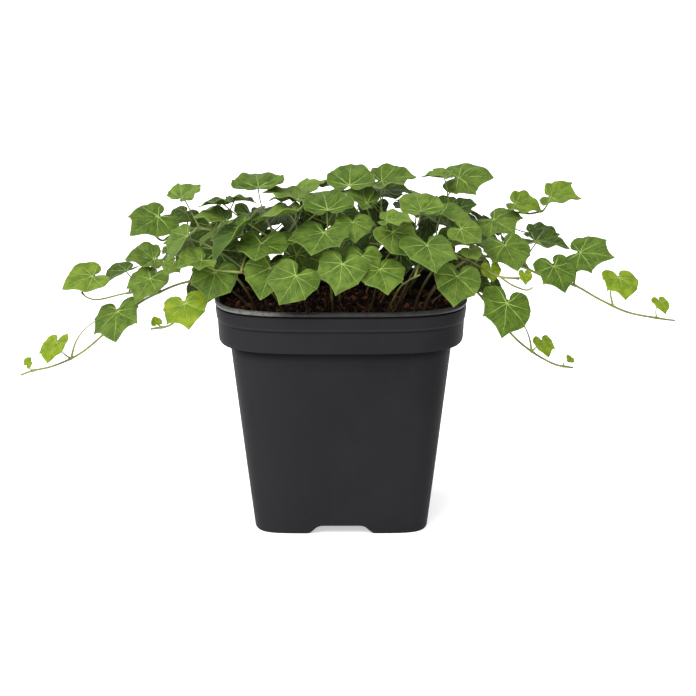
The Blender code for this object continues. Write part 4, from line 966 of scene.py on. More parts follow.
# Right half of the leaf's edge in leaf lengths. "lobe" goes from the joint round the basal lobe to
# the end of the basal vein, "side" on to the shoulder where the lateral vein ends, and "front" to
# the tip. Each point is the end of a ray of the blade
LEAF_HALVES = {
    "round": {
        "lobe": [(0.03, -0.09), (0.07, -0.23), (0.15, -0.345), (0.27, -0.405), (0.41, -0.40), (0.54, -0.34),
                 (0.64, -0.24), (0.70, -0.10), (0.745, 0.05)],
        "side": [(0.72, 0.13), (0.705, 0.23), (0.67, 0.33), (0.625, 0.42), (0.60, 0.515)],
        "front": [(0.54, 0.55), (0.505, 0.59), (0.415, 0.665), (0.335, 0.73), (0.25, 0.795), (0.165, 0.865),
                  (0.09, 0.93), (0.03, 0.98)],
    },
    "toothed": {
        "lobe": [(0.04, -0.10), (0.085, -0.24), (0.16, -0.345), (0.28, -0.40), (0.42, -0.385), (0.54, -0.33),
                 (0.655, -0.25), (0.68, -0.11), (0.745, 0.03)],
        "side": [(0.70, 0.11), (0.69, 0.22), (0.685, 0.33), (0.67, 0.44), (0.675, 0.56)],
        "front": [(0.59, 0.545), (0.53, 0.585), (0.44, 0.615), (0.36, 0.675), (0.27, 0.74), (0.18, 0.82),
                  (0.10, 0.90), (0.04, 0.965)],
    },
    "lobed": {
        "lobe": [(0.04, -0.09), (0.09, -0.22), (0.17, -0.33), (0.29, -0.385), (0.43, -0.39), (0.55, -0.36),
                 (0.63, -0.25), (0.69, -0.13), (0.76, -0.01)],
        "side": [(0.695, 0.075), (0.675, 0.175), (0.675, 0.29), (0.685, 0.41), (0.715, 0.54)],
        "front": [(0.615, 0.525), (0.535, 0.555), (0.44, 0.60), (0.355, 0.665), (0.275, 0.735), (0.19, 0.815),
                  (0.11, 0.90), (0.04, 0.965)],
    },
}

# Leaves of these forms grow side by side: each has a right half and a left half
LEAF_FORMS = {
    "heart": ("round", "round"),
    "cornered": ("toothed", "round"),
    "pointed": ("round", "lobed"),
    "angular": ("lobed", "toothed"),
}

# Leaves without a form in the picture take these in turn, but one shorter than HEART_LENGTH is a heart
FORM_TURNS = ("heart", "cornered", "pointed", "heart", "cornered", "angular")
HEART_LENGTH = 9.5 * MM

# The fine blade: its rings as shares of each ray, how far beside a vein its bank runs and how deep the
# vein lies, both less towards the edge, how far the blade swells between veins, and the small waves of
# its margin, all in leaf lengths
FINE_BLADE = 0.42 * MM
RINGS = (0.09, 0.22, 0.38, 0.54, 0.70, 0.84, 0.94, 1.0)
VEIN_HALF = 0.013
VEIN_START = 1.05
VEIN_TAPER = 0.85
VEIN_DEPTH = 0.010
VEIN_FADE = 0.75
QUILT = 0.022
QUILT_END = 0.94
MARGIN_WAVE = 0.010
MARGIN_WAVES = 8
CURLS = (0.6, 1.3)

# Leaves that are still young and yellow green, by where the picture shows their joint, from 0 to 1.
# A joint belongs to a spot of these tables that is less than SPOT_NEAR points from it
SPOT_NEAR = 2.5
YOUNG = {
    (27, 364): 1.0, (56.4, 342.2): 0.85, (156, 324): 1.0, (184.5, 303.5): 0.75, (92, 277): 0.4,
    (491, 268): 1.0, (524.8, 274): 1.0, (544.4, 341.7): 0.8, (570, 360.5): 1.0,
    (659.5, 301.5): 0.9, (618, 278): 0.75, (550.5, 197): 0.35, (515, 204): 0.35,
}

# Other leaves are the younger the shorter they are than GROWN_LENGTH, beyond YOUNG_OUT from the middle,
# and hardly so within it
GROWN_LENGTH = 17 * MM
GROWN_SPAN = 9 * MM
YOUNGEST = 0.8
YOUNG_OUT = 130 * MM
YOUNG_WITHIN = 0.15

# Leaves whose form the picture shows, by the same spots
FORMS_SEEN = {
    (296.5, 276): "cornered", (380, 269.5): "heart", (457.4, 276.2): "heart", (92, 277): "heart",
    (342.6, 264.4): "cornered", (505, 245): "cornered", (215.4, 272): "cornered", (508.5, 304): "cornered",
    (184.5, 303.5): "cornered", (158, 217): "cornered", (555, 265): "cornered", (618, 278): "cornered",
    (270.5, 268): "pointed", (427, 245): "pointed",
    (323.5, 232.5): "angular", (580.5, 252.5): "angular", (117.5, 311.5): "angular",
}

# How light the picture shows these leaves, from 0 to 1
TONES = {
    (270.5, 268): 0.15, (215.4, 272): 0.1, (296.5, 276): 0.45, (342.6, 264.4): 0.55, (380, 269.5): 0.55,
    (457.4, 276.2): 0.7, (427, 245): 0.55, (262, 243.5): 0.35, (323.5, 232.5): 0.4, (258, 188): 0.2,
    (349, 185.5): 0.35, (382, 181): 0.2, (458, 177.5): 0.25, (508.5, 304): 0.15, (117.5, 311.5): 0.4,
    (505, 245): 0.35, (580.5, 252.5): 0.25,
}

# How much painted shade these leaves get, as dark as the picture shows them, from 0 to 1
SHADES = {
    (535, 241): 0.7, (532, 233): 0.55, (186, 212): 0.7, (127, 270): 0.6, (490, 283.5): 0.8,
    (225, 204): 0.7, (233, 200.5): 0.6, (459, 209): 0.9, (447, 207): 0.8, (384, 190): 0.6,
    (224, 220.5): 0.0, (298, 199.5): 0.0, (303, 194.5): 0.0, (353, 222): 0.0, (393, 232): 0.0,
    (440, 214): 0.0, (367, 203): 0.0, (455, 230): 0.3, (461, 229): 0.2,
}

# Other leaves get the more painted shade the deeper they grow in the dome, from its shell at SHADE_SHELL of
# its size inwards, and from SHADE_FRONT in Y backwards
SHADE_SHELL = 0.92
SHADE_DEEP = 0.3
SHADE_FRONT = -30 * MM
SHADE_BEHIND = 25 * MM
DARKEST = 0.9

# Fine stems and petioles as shares of the part's radii, and a side shoot as a share of its runner. A
# stem ends with a share of its radius, and swells where a petiole leaves. A petiole narrows from its
# foot on, the faster the larger the rate
STEM_FINE = 0.82
PETIOLE_FINE = 0.95
SHOOT_FINE = 0.72
CROWN_END = 0.35
RUNNER_END = 0.8
NODE_SWELL = 0.45
NODE_REACH = 1.6 * MM
STEM_STEPS = 7
PETIOLE_FOOT = 1.25
PETIOLE_NARROWS = 0.55
NARROW_RATE = 2.5
LOOKS_SEED = 11


class Signal:
    """A shader socket that takes part in sums: each sign adds its Math node."""

    def __init__(self, paint, socket):
        self.paint = paint
        self.socket = socket

    def __add__(self, other):
        return self.paint.maths("ADD", self, other)

    def __sub__(self, other):
        return self.paint.maths("SUBTRACT", self, other)

    def __rsub__(self, other):
        return self.paint.maths("SUBTRACT", other, self)

    def __mul__(self, other):
        return self.paint.maths("MULTIPLY", self, other)

    def __truediv__(self, other):
        return self.paint.maths("DIVIDE", self, other)

    def __abs__(self):
        return self.paint.maths("ABSOLUTE", self)

    __radd__ = __add__
    __rmul__ = __mul__


class Paint:
    """A material while it is mixed: its nodes, and the Principled shader that they end in."""

    def __init__(self, name, **finish):
        self.material = bpy.data.materials.new(name)
        self.material.use_nodes = True
        self.tree = self.material.node_tree
        self.shader = self.tree.nodes["Principled BSDF"]
        for socket, value in finish.items():
            self.shader.inputs[socket.replace("_", " ")].default_value = value

    def node(self, kind, settings=None, sockets=None, out=0):
        """Adds a node: its settings first, then the values or links of its sockets."""
        made = self.tree.nodes.new(kind)
        for name, value in (settings or {}).items():
            setattr(made, name, value)
        for name, value in (sockets or {}).items():
            self.feed(made.inputs[name], value)
        return Signal(self, made.outputs[out])

    def feed(self, socket, value):
        """Links a signal to a socket, or sets its value."""
        if isinstance(value, Signal):
            self.tree.links.new(value.socket, socket)
        else:
            socket.default_value = value

    def place(self):
        """Object coordinates."""
        return self.node("ShaderNodeTexCoord", out="Object")

    def leaf_map(self):
        """The blade's own map, in leaf lengths from the joint of its petiole."""
        return self.node("ShaderNodeUVMap", {"uv_map": "blade"})

    def mark(self, name):
        """A number that the mesh carries."""
        return self.node("ShaderNodeAttribute", {"attribute_name": name}, out="Fac")

    def grain(self, vector, scale, detail=2.0, roughness=0.5, out=0):
        """Noise, from 0 to 1."""
        return self.node("ShaderNodeTexNoise", {}, {"Vector": vector, "Scale": scale, "Detail": detail,
                                                    "Roughness": roughness}, out)

    def ease(self, value, low, high, start=0.0, end=1.0):
        """A smooth step of a value between two limits."""
        return self.node("ShaderNodeMapRange", {"interpolation_type": "SMOOTHSTEP"},
                         {"Value": value, "From Min": low, "From Max": high, "To Min": start, "To Max": end})

    def line(self, value, level, half):
        """1 where a value is at a level, and 0 from half away."""
        return self.ease(abs(value - level), half, 0.0)

    def mix(self, share, first, second):
        """A colour between two colours."""
        return self.node("ShaderNodeMix", {"data_type": "RGBA"}, {0: share, 6: first, 7: second}, out=2)

    def coats(self, colour, *coats):
        """Lays coats over a colour in turn, each with its share and its own colour."""
        for share, coat in coats:
            colour = self.mix(share, colour, coat)
        return colour

    def maths(self, operation, first, second=0.0):
        return self.node("ShaderNodeMath", {"operation": operation}, {0: first, 1: second})

    def vector(self, operation, first, second=(0, 0, 0), out=0):
        return self.node("ShaderNodeVectorMath", {"operation": operation}, {0: first, 1: second}, out)

    def scaled(self, vector, share):
        return self.node("ShaderNodeVectorMath", {"operation": "SCALE"}, {0: vector, "Scale": share})

    def length(self, vector):
        return self.vector("LENGTH", vector, out="Value")

    def axis(self, vector, letter):
        """One of the three numbers of a vector."""
        return self.node("ShaderNodeSeparateXYZ", {}, {0: vector}, letter)

    def finish(self, colour, roughness=None, height=None, strength=1.0, depth=0.1 * MM):
        """The material once its colour, its roughness and its relief are fed to the shader."""
        self.feed(self.shader.inputs["Base Color"], colour)
        if roughness is not None:
            self.feed(self.shader.inputs["Roughness"], roughness)
        if height is not None:
            bump = self.node("ShaderNodeBump", {}, {"Strength": strength, "Distance": depth,
                                                    "Height": height})
            self.feed(self.shader.inputs["Normal"], bump)
        return self.material


def rgb(red, green, blue):
    """A colour as it is read from a screen, from 0 to 255."""
    def linear(value):
        share = value / 255
        return share / 12.92 if share <= 0.04045 else ((share + 0.055) / 1.055) ** 2.4
    return (linear(red), linear(green), linear(blue), 1)


# The main veins and their branches on the right half of a blade, from start to end in leaf lengths
MAIN_VEINS = [((0, 0), (0, 1.02)), ((0, 0), (0.64, 0.53)), ((0, 0), (0.735, 0.05)), ((0, 0), (0.36, -0.34))]
SIDE_VEINS = [
    ((0, 0.18), (0.42, 0.60)), ((0, 0.36), (0.32, 0.70)), ((0, 0.54), (0.22, 0.80)),
    ((0, 0.70), (0.12, 0.88)), ((0.22, 0.18), (0.36, 0.58)), ((0.38, 0.31), (0.52, 0.57)),
    ((0.20, 0.16), (0.68, 0.24)), ((0.36, 0.30), (0.70, 0.38)), ((0.24, 0.01), (0.62, -0.22)),
    ((0.42, 0.02), (0.73, 0.16)), ((0.14, -0.13), (0.50, -0.34)), ((0.12, -0.11), (0.18, -0.32)),
]


def vein_gaps(paint, spot, veins, half, thin):
    """How far a spot is from the nearest vein, in half widths of that vein, which gets thinner by a share
    from its start to its end."""
    nearest = None
    for (ax, ay), (bx, by) in veins:
        way = (bx - ax, by - ay, 0)
        from_start = paint.vector("SUBTRACT", spot, (ax, ay, 0))
        along = paint.vector("DOT_PRODUCT", from_start, way, out="Value") / (way[0] ** 2 + way[1] ** 2)
        along = paint.node("ShaderNodeClamp", {}, {"Value": along})
        beside = paint.vector("SUBTRACT", from_start, paint.scaled(way, along))
        gap = paint.length(beside) / (half * (1 - thin * along))
        nearest = gap if nearest is None else paint.maths("MINIMUM", nearest, gap)
    return nearest


def leaf_material(name, under):
    """The green of a blade with its pale palmate veins, with painted shade round the joint of grown leaves
    and over leaves by their shade mark. The underside is paler and dull.
    """
    paint = Paint(name, Specular_IOR_Level=0.12)
    flat = paint.leaf_map()
    place = paint.place()
    seed = paint.mark("seed")
    age = paint.mark("age")
    tone = paint.mark("tone")
    shade = paint.mark("shade")
    rim = paint.mark("rim")

    # Each leaf has its own part of the noise, and veins that wander a little
    shift = paint.scaled((3.1, 7.7, 5.3), seed)
    own = paint.vector("ADD", flat, shift)
    wander = paint.vector("SUBTRACT", paint.grain(own, 2.6, 1.0, out="Color"), (0.5, 0.5, 0.5))
    bent = paint.vector("ADD", flat, paint.scaled(wander, 0.13))

    # The left half mirrors the right one
    across = paint.vector("MULTIPLY", paint.vector("ABSOLUTE", bent), (1, 0, 0))
    spot = paint.vector("ADD", across, paint.vector("MULTIPLY", bent, (0, 1, 0)))
    main = vein_gaps(paint, spot, MAIN_VEINS, half=0.0115, thin=0.66)
    side = vein_gaps(paint, spot, SIDE_VEINS, half=0.0062, thin=0.45)
    outward = paint.length(flat)
    fading = paint.ease(outward, 1.0, 0.15, 0.5, 1.0)
    main_line = paint.ease(main, 1.5, 0.5) * fading
    side_line = paint.ease(side, 1.8, 0.6)
    halo = paint.ease(main, 9.0, 0.5)
    net = paint.node("ShaderNodeTexVoronoi", {"feature": "DISTANCE_TO_EDGE"},
                     {"Vector": paint.vector("ADD", bent, shift), "Scale": 13.0}, out="Distance")
    net_line = paint.ease(net, 0.08, 0.0)
    # Round the joint, where grown leaves get painted shade
    heart = paint.ease(outward, 0.62, 0.05)

    mottle = paint.grain(own, 3.4, 3.0)
    speck = paint.grain(place, 1400.0, 2.0)
    patches = paint.ease(mottle, 0.36, 0.64)
    mature = paint.mix(tone, paint.mix(patches, rgb(42, 63, 13), rgb(61, 86, 20)),
                       paint.mix(patches, rgb(72, 96, 30), rgb(99, 121, 47)))
    colour = paint.coats(
        paint.mix(age, mature, paint.mix(patches, rgb(94, 118, 4), rgb(124, 140, 9))),
        # Painted shade: darker green round the joint of grown leaves, and dark green over a leaf by its shade
        # mark
        (heart * (1 - age) * 0.30, rgb(45, 76, 8)),
        (shade, paint.mix(patches, rgb(21, 37, 5), rgb(32, 50, 8))),
        (halo * 0.10, rgb(88, 118, 30)),
        (net_line * 0.24, rgb(100, 124, 48)),
        (paint.ease(rim, 0.95, 1.0) * 0.45, rgb(120, 140, 76)),
        (side_line * 0.46, rgb(116, 140, 66)),
        (main_line * 0.92, rgb(150, 170, 90)),
    )
    roughness = 0.38 + 0.18 * mottle + 0.06 * speck
    relief = 0.08 * speck - 0.5 * side_line - 0.8 * main_line - 0.25 * net_line + 0.7 * mottle
    if under:
        colour = paint.mix(0.45, colour, rgb(70, 86, 33))
        roughness = roughness + 0.15
        relief = 0 - relief
    return paint.finish(colour, roughness, relief, strength=0.7, depth=0.3 * MM)


def stem_material():
    """Green stems, olive on the older wood, and dark brown low in the middle where they leave the mix: partly
    the brown of old wood, partly painted shade under the crown.
    """
    paint = Paint("ivy_stem")
    place = paint.place()
    out = paint.length(paint.vector("MULTIPLY", place, (1, 1, 0)))
    # Low in the middle the stems get dark brown: the old wood's own brown and painted shade under the crown
    low = paint.ease(paint.axis(place, "Z"), 172 * MM, 134 * MM) * paint.ease(out, 108 * MM, 85 * MM)
    blotch = paint.grain(place, 130.0, 3.0)
    fine = paint.grain(place, 1500.0, 2.0)
    young = paint.mark("young")
    green = paint.mix(paint.ease(blotch, 0.35, 0.68), rgb(84, 92, 30), rgb(116, 122, 50))
    green = paint.mix(young, green, rgb(116, 134, 52))
    colour = paint.mix(low * 0.92, green, paint.mix(blotch, rgb(44, 27, 10), rgb(82, 62, 24)))
    return paint.finish(colour, 0.42 + 0.2 * blotch, blotch + 0.5 * fine, strength=0.5, depth=0.12 * MM)


def pot_material():
    """Matt charcoal plastic with the faint mottle of a moulded pot, painted lighter on the left and darker on
    the right, painted shade under the skirt, at the step and in the groove under the lip, and a painted
    highlight over the step.
    """
    paint = Paint("pot_plastic_moulded", Specular_IOR_Level=0.03)
    place = paint.place()
    across = paint.axis(place, "X")
    height = paint.axis(place, "Z")
    cloud = paint.grain(place, 16.0, 4.0, 0.55)
    pebble = paint.grain(place, 900.0, 3.0, 0.6)
    streak = paint.grain(paint.vector("MULTIPLY", place, (260, 260, 12)), 1.0, 3.0)
    scuff = paint.ease(paint.grain(place, 120.0, 5.0, 0.7), 0.62, 0.75)
    # Painted shade on the body just under the skirt
    under_skirt_shade = (paint.ease(height, SKIRT_BOTTOM - 7 * MM, SKIRT_BOTTOM)
                   * paint.ease(height, SKIRT_BOTTOM + 0.4 * MM, SKIRT_BOTTOM))
    colour = paint.coats(
        paint.mix(paint.ease(cloud, 0.35, 0.65), rgb(29, 29, 31), rgb(32, 32, 34)),
        # Painted light and shade: lighter towards the left and darker towards the right, as the light falls
        (paint.ease(across, 20 * MM, -70 * MM) * 0.5, rgb(38, 38, 40)),
        (paint.ease(across, 40 * MM, 80 * MM) * 0.75, rgb(15, 15, 17)),
        (paint.ease(streak, 0.5, 0.8) * 0.2, rgb(37, 37, 39)),
        (scuff * 0.12, rgb(50, 50, 52)),
        (under_skirt_shade * 0.9, rgb(8, 8, 10)),
        # Painted shade at the step, a painted highlight just over it, and painted shade in the groove under
        # the lip
        (paint.line(height, STEP_HEIGHT - 0.6 * MM, 1.0 * MM) * 0.6, rgb(8, 8, 9)),
        (paint.line(height, STEP_HEIGHT + 0.8 * MM, 0.6 * MM) * 0.5, rgb(46, 46, 48)),
        (paint.line(height, GROOVE_HEIGHT, 1.5 * MM) * 0.85, rgb(4, 4, 5)),
    )
    roughness = 0.46 + 0.10 * cloud + 0.08 * pebble
    return paint.finish(colour, roughness, pebble + 0.5 * streak, strength=0.22, depth=0.08 * MM)


def lip_material():
    """The same plastic on the lip, shinier, with a painted highlight towards the left and painted shade down
    into the groove under it.
    """
    paint = Paint("pot_lip_rubbed", Specular_IOR_Level=0.24)
    place = paint.place()
    across = paint.axis(place, "X")
    height = paint.axis(place, "Z")
    lip_grain = paint.grain(place, 210.0, 4.0, 0.6)
    # The painted highlight lies on the left part of the lip, in patches of the grain
    left = paint.ease(across, -26 * MM, -50 * MM) * paint.ease(across, -76 * MM, -66 * MM)
    painted_highlight = left * paint.ease(lip_grain, 0.25, 0.55)
    colour = paint.coats(
        paint.mix(paint.ease(lip_grain, 0.35, 0.65), rgb(19, 19, 19), rgb(33, 33, 32)),
        (painted_highlight * 0.8, rgb(108, 108, 104)),
        # Painted shade down towards the groove under the lip
        (paint.ease(height, GROOVE_HEIGHT + 0.9 * MM, GROOVE_HEIGHT), rgb(4, 4, 5)),
    )
    return paint.finish(colour, 0.34 + 0.14 * lip_grain, lip_grain, strength=0.2, depth=0.1 * MM)


def soil_material(name, dark, light):
    """Peat and bark between a dark and a light brown, with darker patches of painted shade."""
    paint = Paint(name, Roughness=0.95, Specular_IOR_Level=0.2)
    place = paint.place()
    tone = paint.mark("tone")
    patch = paint.grain(place, 420.0, 4.0, 0.7)
    fine = paint.grain(place, 2100.0, 3.0, 0.6)
    # Darker patches of painted shade, for the shadow of the crown
    shade_patches = paint.ease(paint.grain(place, 70.0, 2.0), 0.42, 0.60)
    colour = paint.mix((paint.ease(patch, 0.35, 0.68) * 0.6 + tone * 0.4) * (0.30 + 0.70 * shade_patches), dark, light)
    return paint.finish(colour, 0.8 + 0.18 * fine, patch + 0.6 * fine, strength=0.8, depth=0.5 * MM)


def into_scene(name, data):
    """An object of the scene that shows a mesh or a curve."""
    made = bpy.data.objects.new(name, data)
    bpy.context.scene.collection.objects.link(made)
    return made


def from_points(name, points, faces):
    """An object of the scene from the points and faces of its mesh."""
    mesh = bpy.data.meshes.new(name)
    mesh.from_pydata(points, [], faces)
    mesh.update()
    return into_scene(name, mesh)


def settle_down(thing):
    """Deselects all else, and makes one object the active one."""
    bpy.ops.object.select_all(action="DESELECT")
    thing.select_set(True)
    bpy.context.view_layer.objects.active = thing


def apply_all(thing):
    """Applies an object's modifiers in turn."""
    settle_down(thing)
    for modifier in list(thing.modifiers):
        bpy.ops.object.modifier_apply(modifier=modifier.name)


def join_all(things, name):
    """Joins objects into one with its origin at the scene's origin."""
    settle_down(things[0])
    for thing in things:
        thing.select_set(True)
    bpy.ops.object.join()
    whole = bpy.context.object
    bpy.ops.object.transform_apply(location=True, rotation=True, scale=True)
    whole.name = name
    whole.data.name = name
    return whole


def hand_over(piece, slot, *nodes):
    """Gives a finished piece its place in the frame."""
    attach(piece, "root")
    if nodes:
        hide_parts(*nodes)


def give_mark(mesh, name, values):
    """Writes one number for each point of a mesh, or the same for all."""
    mark = mesh.attributes.new(name, "FLOAT", "POINT")
    mark.data.foreach_set("value", np.full(len(mesh.vertices), values, dtype=np.float32))


def turn_faces(mesh, up=False):
    """Turns all faces the same way: outwards, or up if the mesh is an open sheet."""
    clean = bmesh.new()
    clean.from_mesh(mesh)
    bmesh.ops.recalc_face_normals(clean, faces=clean.faces)
    if up and sum(face.normal.z for face in clean.faces) < 0:
        bmesh.ops.reverse_faces(clean, faces=clean.faces)
    clean.to_mesh(mesh)
    clean.free()


def half_rays(half):
    """The rays of a blade's right half, from the sinus to the tip: the end of each at the edge, how
    far beside a main vein it runs (None if it runs on its own), and its share of the way between two."""
    rays = []
    for part in ("lobe", "side", "front"):
        ends = half[part] if part == "front" else half[part][:-1]
        for i, end in enumerate(ends):
            rays.append((Vector((*end, 0)), None, (i + 1) / (len(ends) + 1)))
        if part != "front":
            rays += [(Vector((*half[part][-1], 0)), beside, 0) for beside in (-1, 0, 1)]
    return rays + [(Vector((0, 1, 0)), -1, 0)]


def all_rays(form):
    """The rays right round a blade, anticlockwise from the sinus."""
    right = half_rays(LEAF_HALVES[form[0]])
    left = [(Vector((-end.x, end.y, 0)), None if beside is None else -beside, share)
            for end, beside, share in reversed(half_rays(LEAF_HALVES[form[1]]))]
    return right + [(Vector((0, 1, 0)), 0, 0)] + left


def ray_point(end, beside, share):
    """A point of a ray in the flat blade. One beside a vein keeps close to it."""
    flat = end * share
    if beside:
        across = Vector((-end.y, end.x, 0)).normalized()
        flat = flat + across * beside * VEIN_HALF * (VEIN_START - VEIN_TAPER * share)
    return flat


def blade_relief(beside, between, share):
    """How far a point of the blade stands out of its smooth surface, in leaf lengths."""
    if beside == 0:
        return -VEIN_DEPTH * (1 - VEIN_FADE * share)
    if beside is not None:
        return 0.0
    return QUILT * math.sin(math.pi * between) * math.sin(math.pi * min(share, QUILT_END)) * 0.5


def ringed_disc(name, count):
    """A disc of RINGS with that many points in each, drawn in from its edge to its middle."""
    bpy.ops.object.select_all(action="DESELECT")
    bpy.ops.mesh.primitive_circle_add(vertices=count, radius=RINGS[-1])
    disc = bpy.context.object
    disc.name = name
    bpy.ops.object.mode_set(mode="EDIT")
    bpy.ops.mesh.select_all(action="SELECT")
    for outer, inner in zip(reversed(RINGS[1:]), reversed(RINGS[:-1])):
        bpy.ops.mesh.extrude_region_move()
        bpy.ops.transform.resize(value=(inner / outer, inner / outer, 1))
    bpy.ops.mesh.extrude_region_move()
    bpy.ops.mesh.merge(type="CENTER")
    bpy.ops.object.mode_set(mode="OBJECT")
    return disc


def write_map(mesh, flats):
    """The blade's own map: the flat place of each point."""
    while mesh.uv_layers:
        mesh.uv_layers.remove(mesh.uv_layers[0])
    layer = mesh.uv_layers.new(name="blade")
    corner = np.zeros(len(mesh.loops), dtype=np.int32)
    mesh.loops.foreach_get("vertex_index", corner)
    layer.data.foreach_set("uv", np.asarray(flats, dtype=np.float32)[corner].ravel())


def model_blade(name, form):
    """A flat blade: a disc of rings, drawn out to the leaf's edge."""
    rays = all_rays(form)
    count = len(rays)
    disc = ringed_disc(name, count)
    flats, reliefs, rims = [], [], []
    for vertex in disc.data.vertices:
        radius = vertex.co.to_2d().length
        if radius < 0.5 * RINGS[0]:
            flats.append((0.0, 0.0))
            reliefs.append(-VEIN_DEPTH)
            rims.append(0.0)
            continue
        turn = math.atan2(vertex.co.y, vertex.co.x) - math.pi / 2
        k = round(turn / (2 * math.pi) * count) % count
        end, beside, between = rays[k]
        flat = ray_point(end, beside, radius)
        flats.append((flat.x, flat.y))
        reliefs.append(blade_relief(beside, between, radius))
        rims.append(radius)
    for vertex, (x, y) in zip(disc.data.vertices, flats):
        vertex.co = (x, y, 0)
    give_mark(disc.data, "rim", rims)
    write_map(disc.data, flats)
    turn_faces(disc.data, up=True)
    return {"object": disc, "flats": flats, "reliefs": reliefs}


def seen_entry(leaf, table):
    """What a table of the picture's joints says of a leaf, or None."""
    spot = seen_spot(leaf.joint)
    for (x, y), entry in table.items():
        if math.hypot(spot[0] - x, spot[1] - y) < SPOT_NEAR:
            return entry
    return None


def limited(value, most=1.0):
    """A value kept between 0 and most."""
    return max(0.0, min(most, value))


def leaf_age(leaf):
    """How young a leaf is: what the picture shows, or the smaller the younger out on the runners."""
    age = seen_entry(leaf, YOUNG)
    if age is not None:
        return age
    small = limited((GROWN_LENGTH - leaf.length) / GROWN_SPAN, YOUNGEST)
    return small if leaf.joint.to_2d().length > YOUNG_OUT else YOUNG_WITHIN * small


def leaf_shade(leaf):
    """How much painted shade a leaf gets: what the picture shows, or the more the deeper inside the dome it
    grows.
    """
    seen = seen_entry(leaf, SHADES)
    if seen is not None:
        return seen
    middle = leaf.joint + leaf.along * 0.4 * leaf.length - DOME_MIDDLE
    share = math.sqrt(sum((middle[i] / DOME_SIZE[i]) ** 2 for i in range(3)))
    behind = limited((middle.y - SHADE_FRONT) / SHADE_BEHIND)
    return DARKEST * behind * limited((SHADE_SHELL - share) / SHADE_DEEP)


def fine_leaf(leaf, model):
    """A copy of the flat blade, curved to the place and form of one leaf."""
    mesh = model["object"].data.copy()
    margin = looks.uniform(0, ROUND)
    curl = looks.uniform(*CURLS)
    places = []
    for (x, y), relief in zip(model["flats"], model["reliefs"]):
        reach = math.hypot(x, y)
        angle = math.atan2(x, y + 0.05)
        lift = relief * curl + MARGIN_WAVE * math.sin(MARGIN_WAVES * angle + margin) * reach ** 3
        places.append(leaf.point(x, y) + leaf.face * lift * leaf.length)
    mesh.vertices.foreach_set("co", np.asarray(places, dtype=np.float32).ravel())
    give_mark(mesh, "age", min(1.0, leaf_age(leaf) + looks.uniform(0, 0.12)))
    tone = looks.uniform(0, 1)
    seen = seen_entry(leaf, TONES)
    give_mark(mesh, "tone", tone if seen is None else seen)
    give_mark(mesh, "shade", leaf_shade(leaf))
    give_mark(mesh, "seed", looks.uniform(0, 9))
    mesh.update()
    return into_scene("blade", mesh)


def vine_leaves(vine):
    """All leaves of a vine as one piece with thin solid blades."""
    copies = [fine_leaf(leaf, blade_models[pick_form(leaf)]) for leaf in vine.leaves]
    piece = join_all(copies, vine.name + "_leaves")
    for material in leaf_materials:
        piece.data.materials.append(material)
    thick = piece.modifiers.new("Thickness", "SOLIDIFY")
    thick.thickness = FINE_BLADE
    thick.offset = -1
    thick.material_offset = 1
    apply_all(piece)
    piece.data.shade_smooth()
    hand_over(piece, "ivy", vine.name)


def pick_form(leaf):
    """The form of a leaf: small ones are plain hearts, others have corners on one side or on both."""
    form = seen_entry(leaf, FORMS_SEEN)
    if form:
        return form
    if leaf.length < HEART_LENGTH:
        return "heart"
    return FORM_TURNS[int(leaf.phase * 1000) % len(FORM_TURNS)]


def fine_tube(name, path, radii, young, roundness=3):
    """A round stem as a mesh, from a curve with its own radius at each point."""
    curve = bpy.data.curves.new(name, "CURVE")
    curve.dimensions = "3D"
    curve.bevel_depth = 1.0
    curve.bevel_resolution = roundness
    curve.use_fill_caps = True
    spline = curve.splines.new("POLY")
    spline.points.add(len(path) - 1)
    for point, place, radius in zip(spline.points, path, radii):
        point.co = (*place, 1)
        point.radius = radius
    settle_down(into_scene(name, curve))
    bpy.ops.object.convert(target="MESH")
    tube = bpy.context.object
    bpy.ops.object.mode_set(mode="EDIT")
    bpy.ops.mesh.select_all(action="SELECT")
    bpy.ops.mesh.remove_doubles(threshold=0.000001)
    bpy.ops.mesh.normals_make_consistent(inside=False)
    bpy.ops.object.mode_set(mode="OBJECT")
    give_mark(tube.data, "young", young)
    return tube


def swollen(path, radius, end_share, joints):
    """Radii along a stem that tapers, with a swelling at each node where a petiole leaves."""
    radii = []
    for i, place in enumerate(path):
        share = i / (len(path) - 1)
        bulge = max(math.exp(-((place - joint).length / NODE_REACH) ** 2) for joint in joints)
        radii.append(radius * (1 - (1 - end_share) * share) * (1 + NODE_SWELL * bulge))
    return radii


def narrowed(radius, count):
    """Radii along a petiole, which gets narrower away from its stem."""
    return [radius * (PETIOLE_FOOT - PETIOLE_NARROWS * min(1, NARROW_RATE * i / count)) for i in range(count)]


def vine_stems(vine):
    """Stem, side shoots and petioles of a vine as one piece."""
    joints = [path[0] for path, _ in vine.petioles]
    end, young = (CROWN_END, 0.15) if "crown" in vine.name else (RUNNER_END, 0.0)
    tubes = []
    for i, path in enumerate(vine.stems):
        fine = smooth(path, STEM_STEPS)
        radius = vine.radius * STEM_FINE * (SHOOT_FINE if i else 1)
        tubes.append(fine_tube(vine.name + "_stem", fine, swollen(fine, radius, end, joints), young))
    for leaf, (path, radius) in zip(vine.leaves, vine.petioles):
        fine = smooth(path, 5 if len(path) > 3 else 6)
        radii = narrowed(radius * PETIOLE_FINE, len(fine))
        tubes.append(fine_tube(vine.name + "_petiole", fine, radii, 0.25 + 0.75 * leaf_age(leaf), 2))
    piece = join_all(tubes, vine.name + "_stems")
    piece.data.materials.clear()
    piece.data.materials.append(stem_green)
    piece.data.shade_smooth()
    hand_over(piece, "ivy", vine.name)


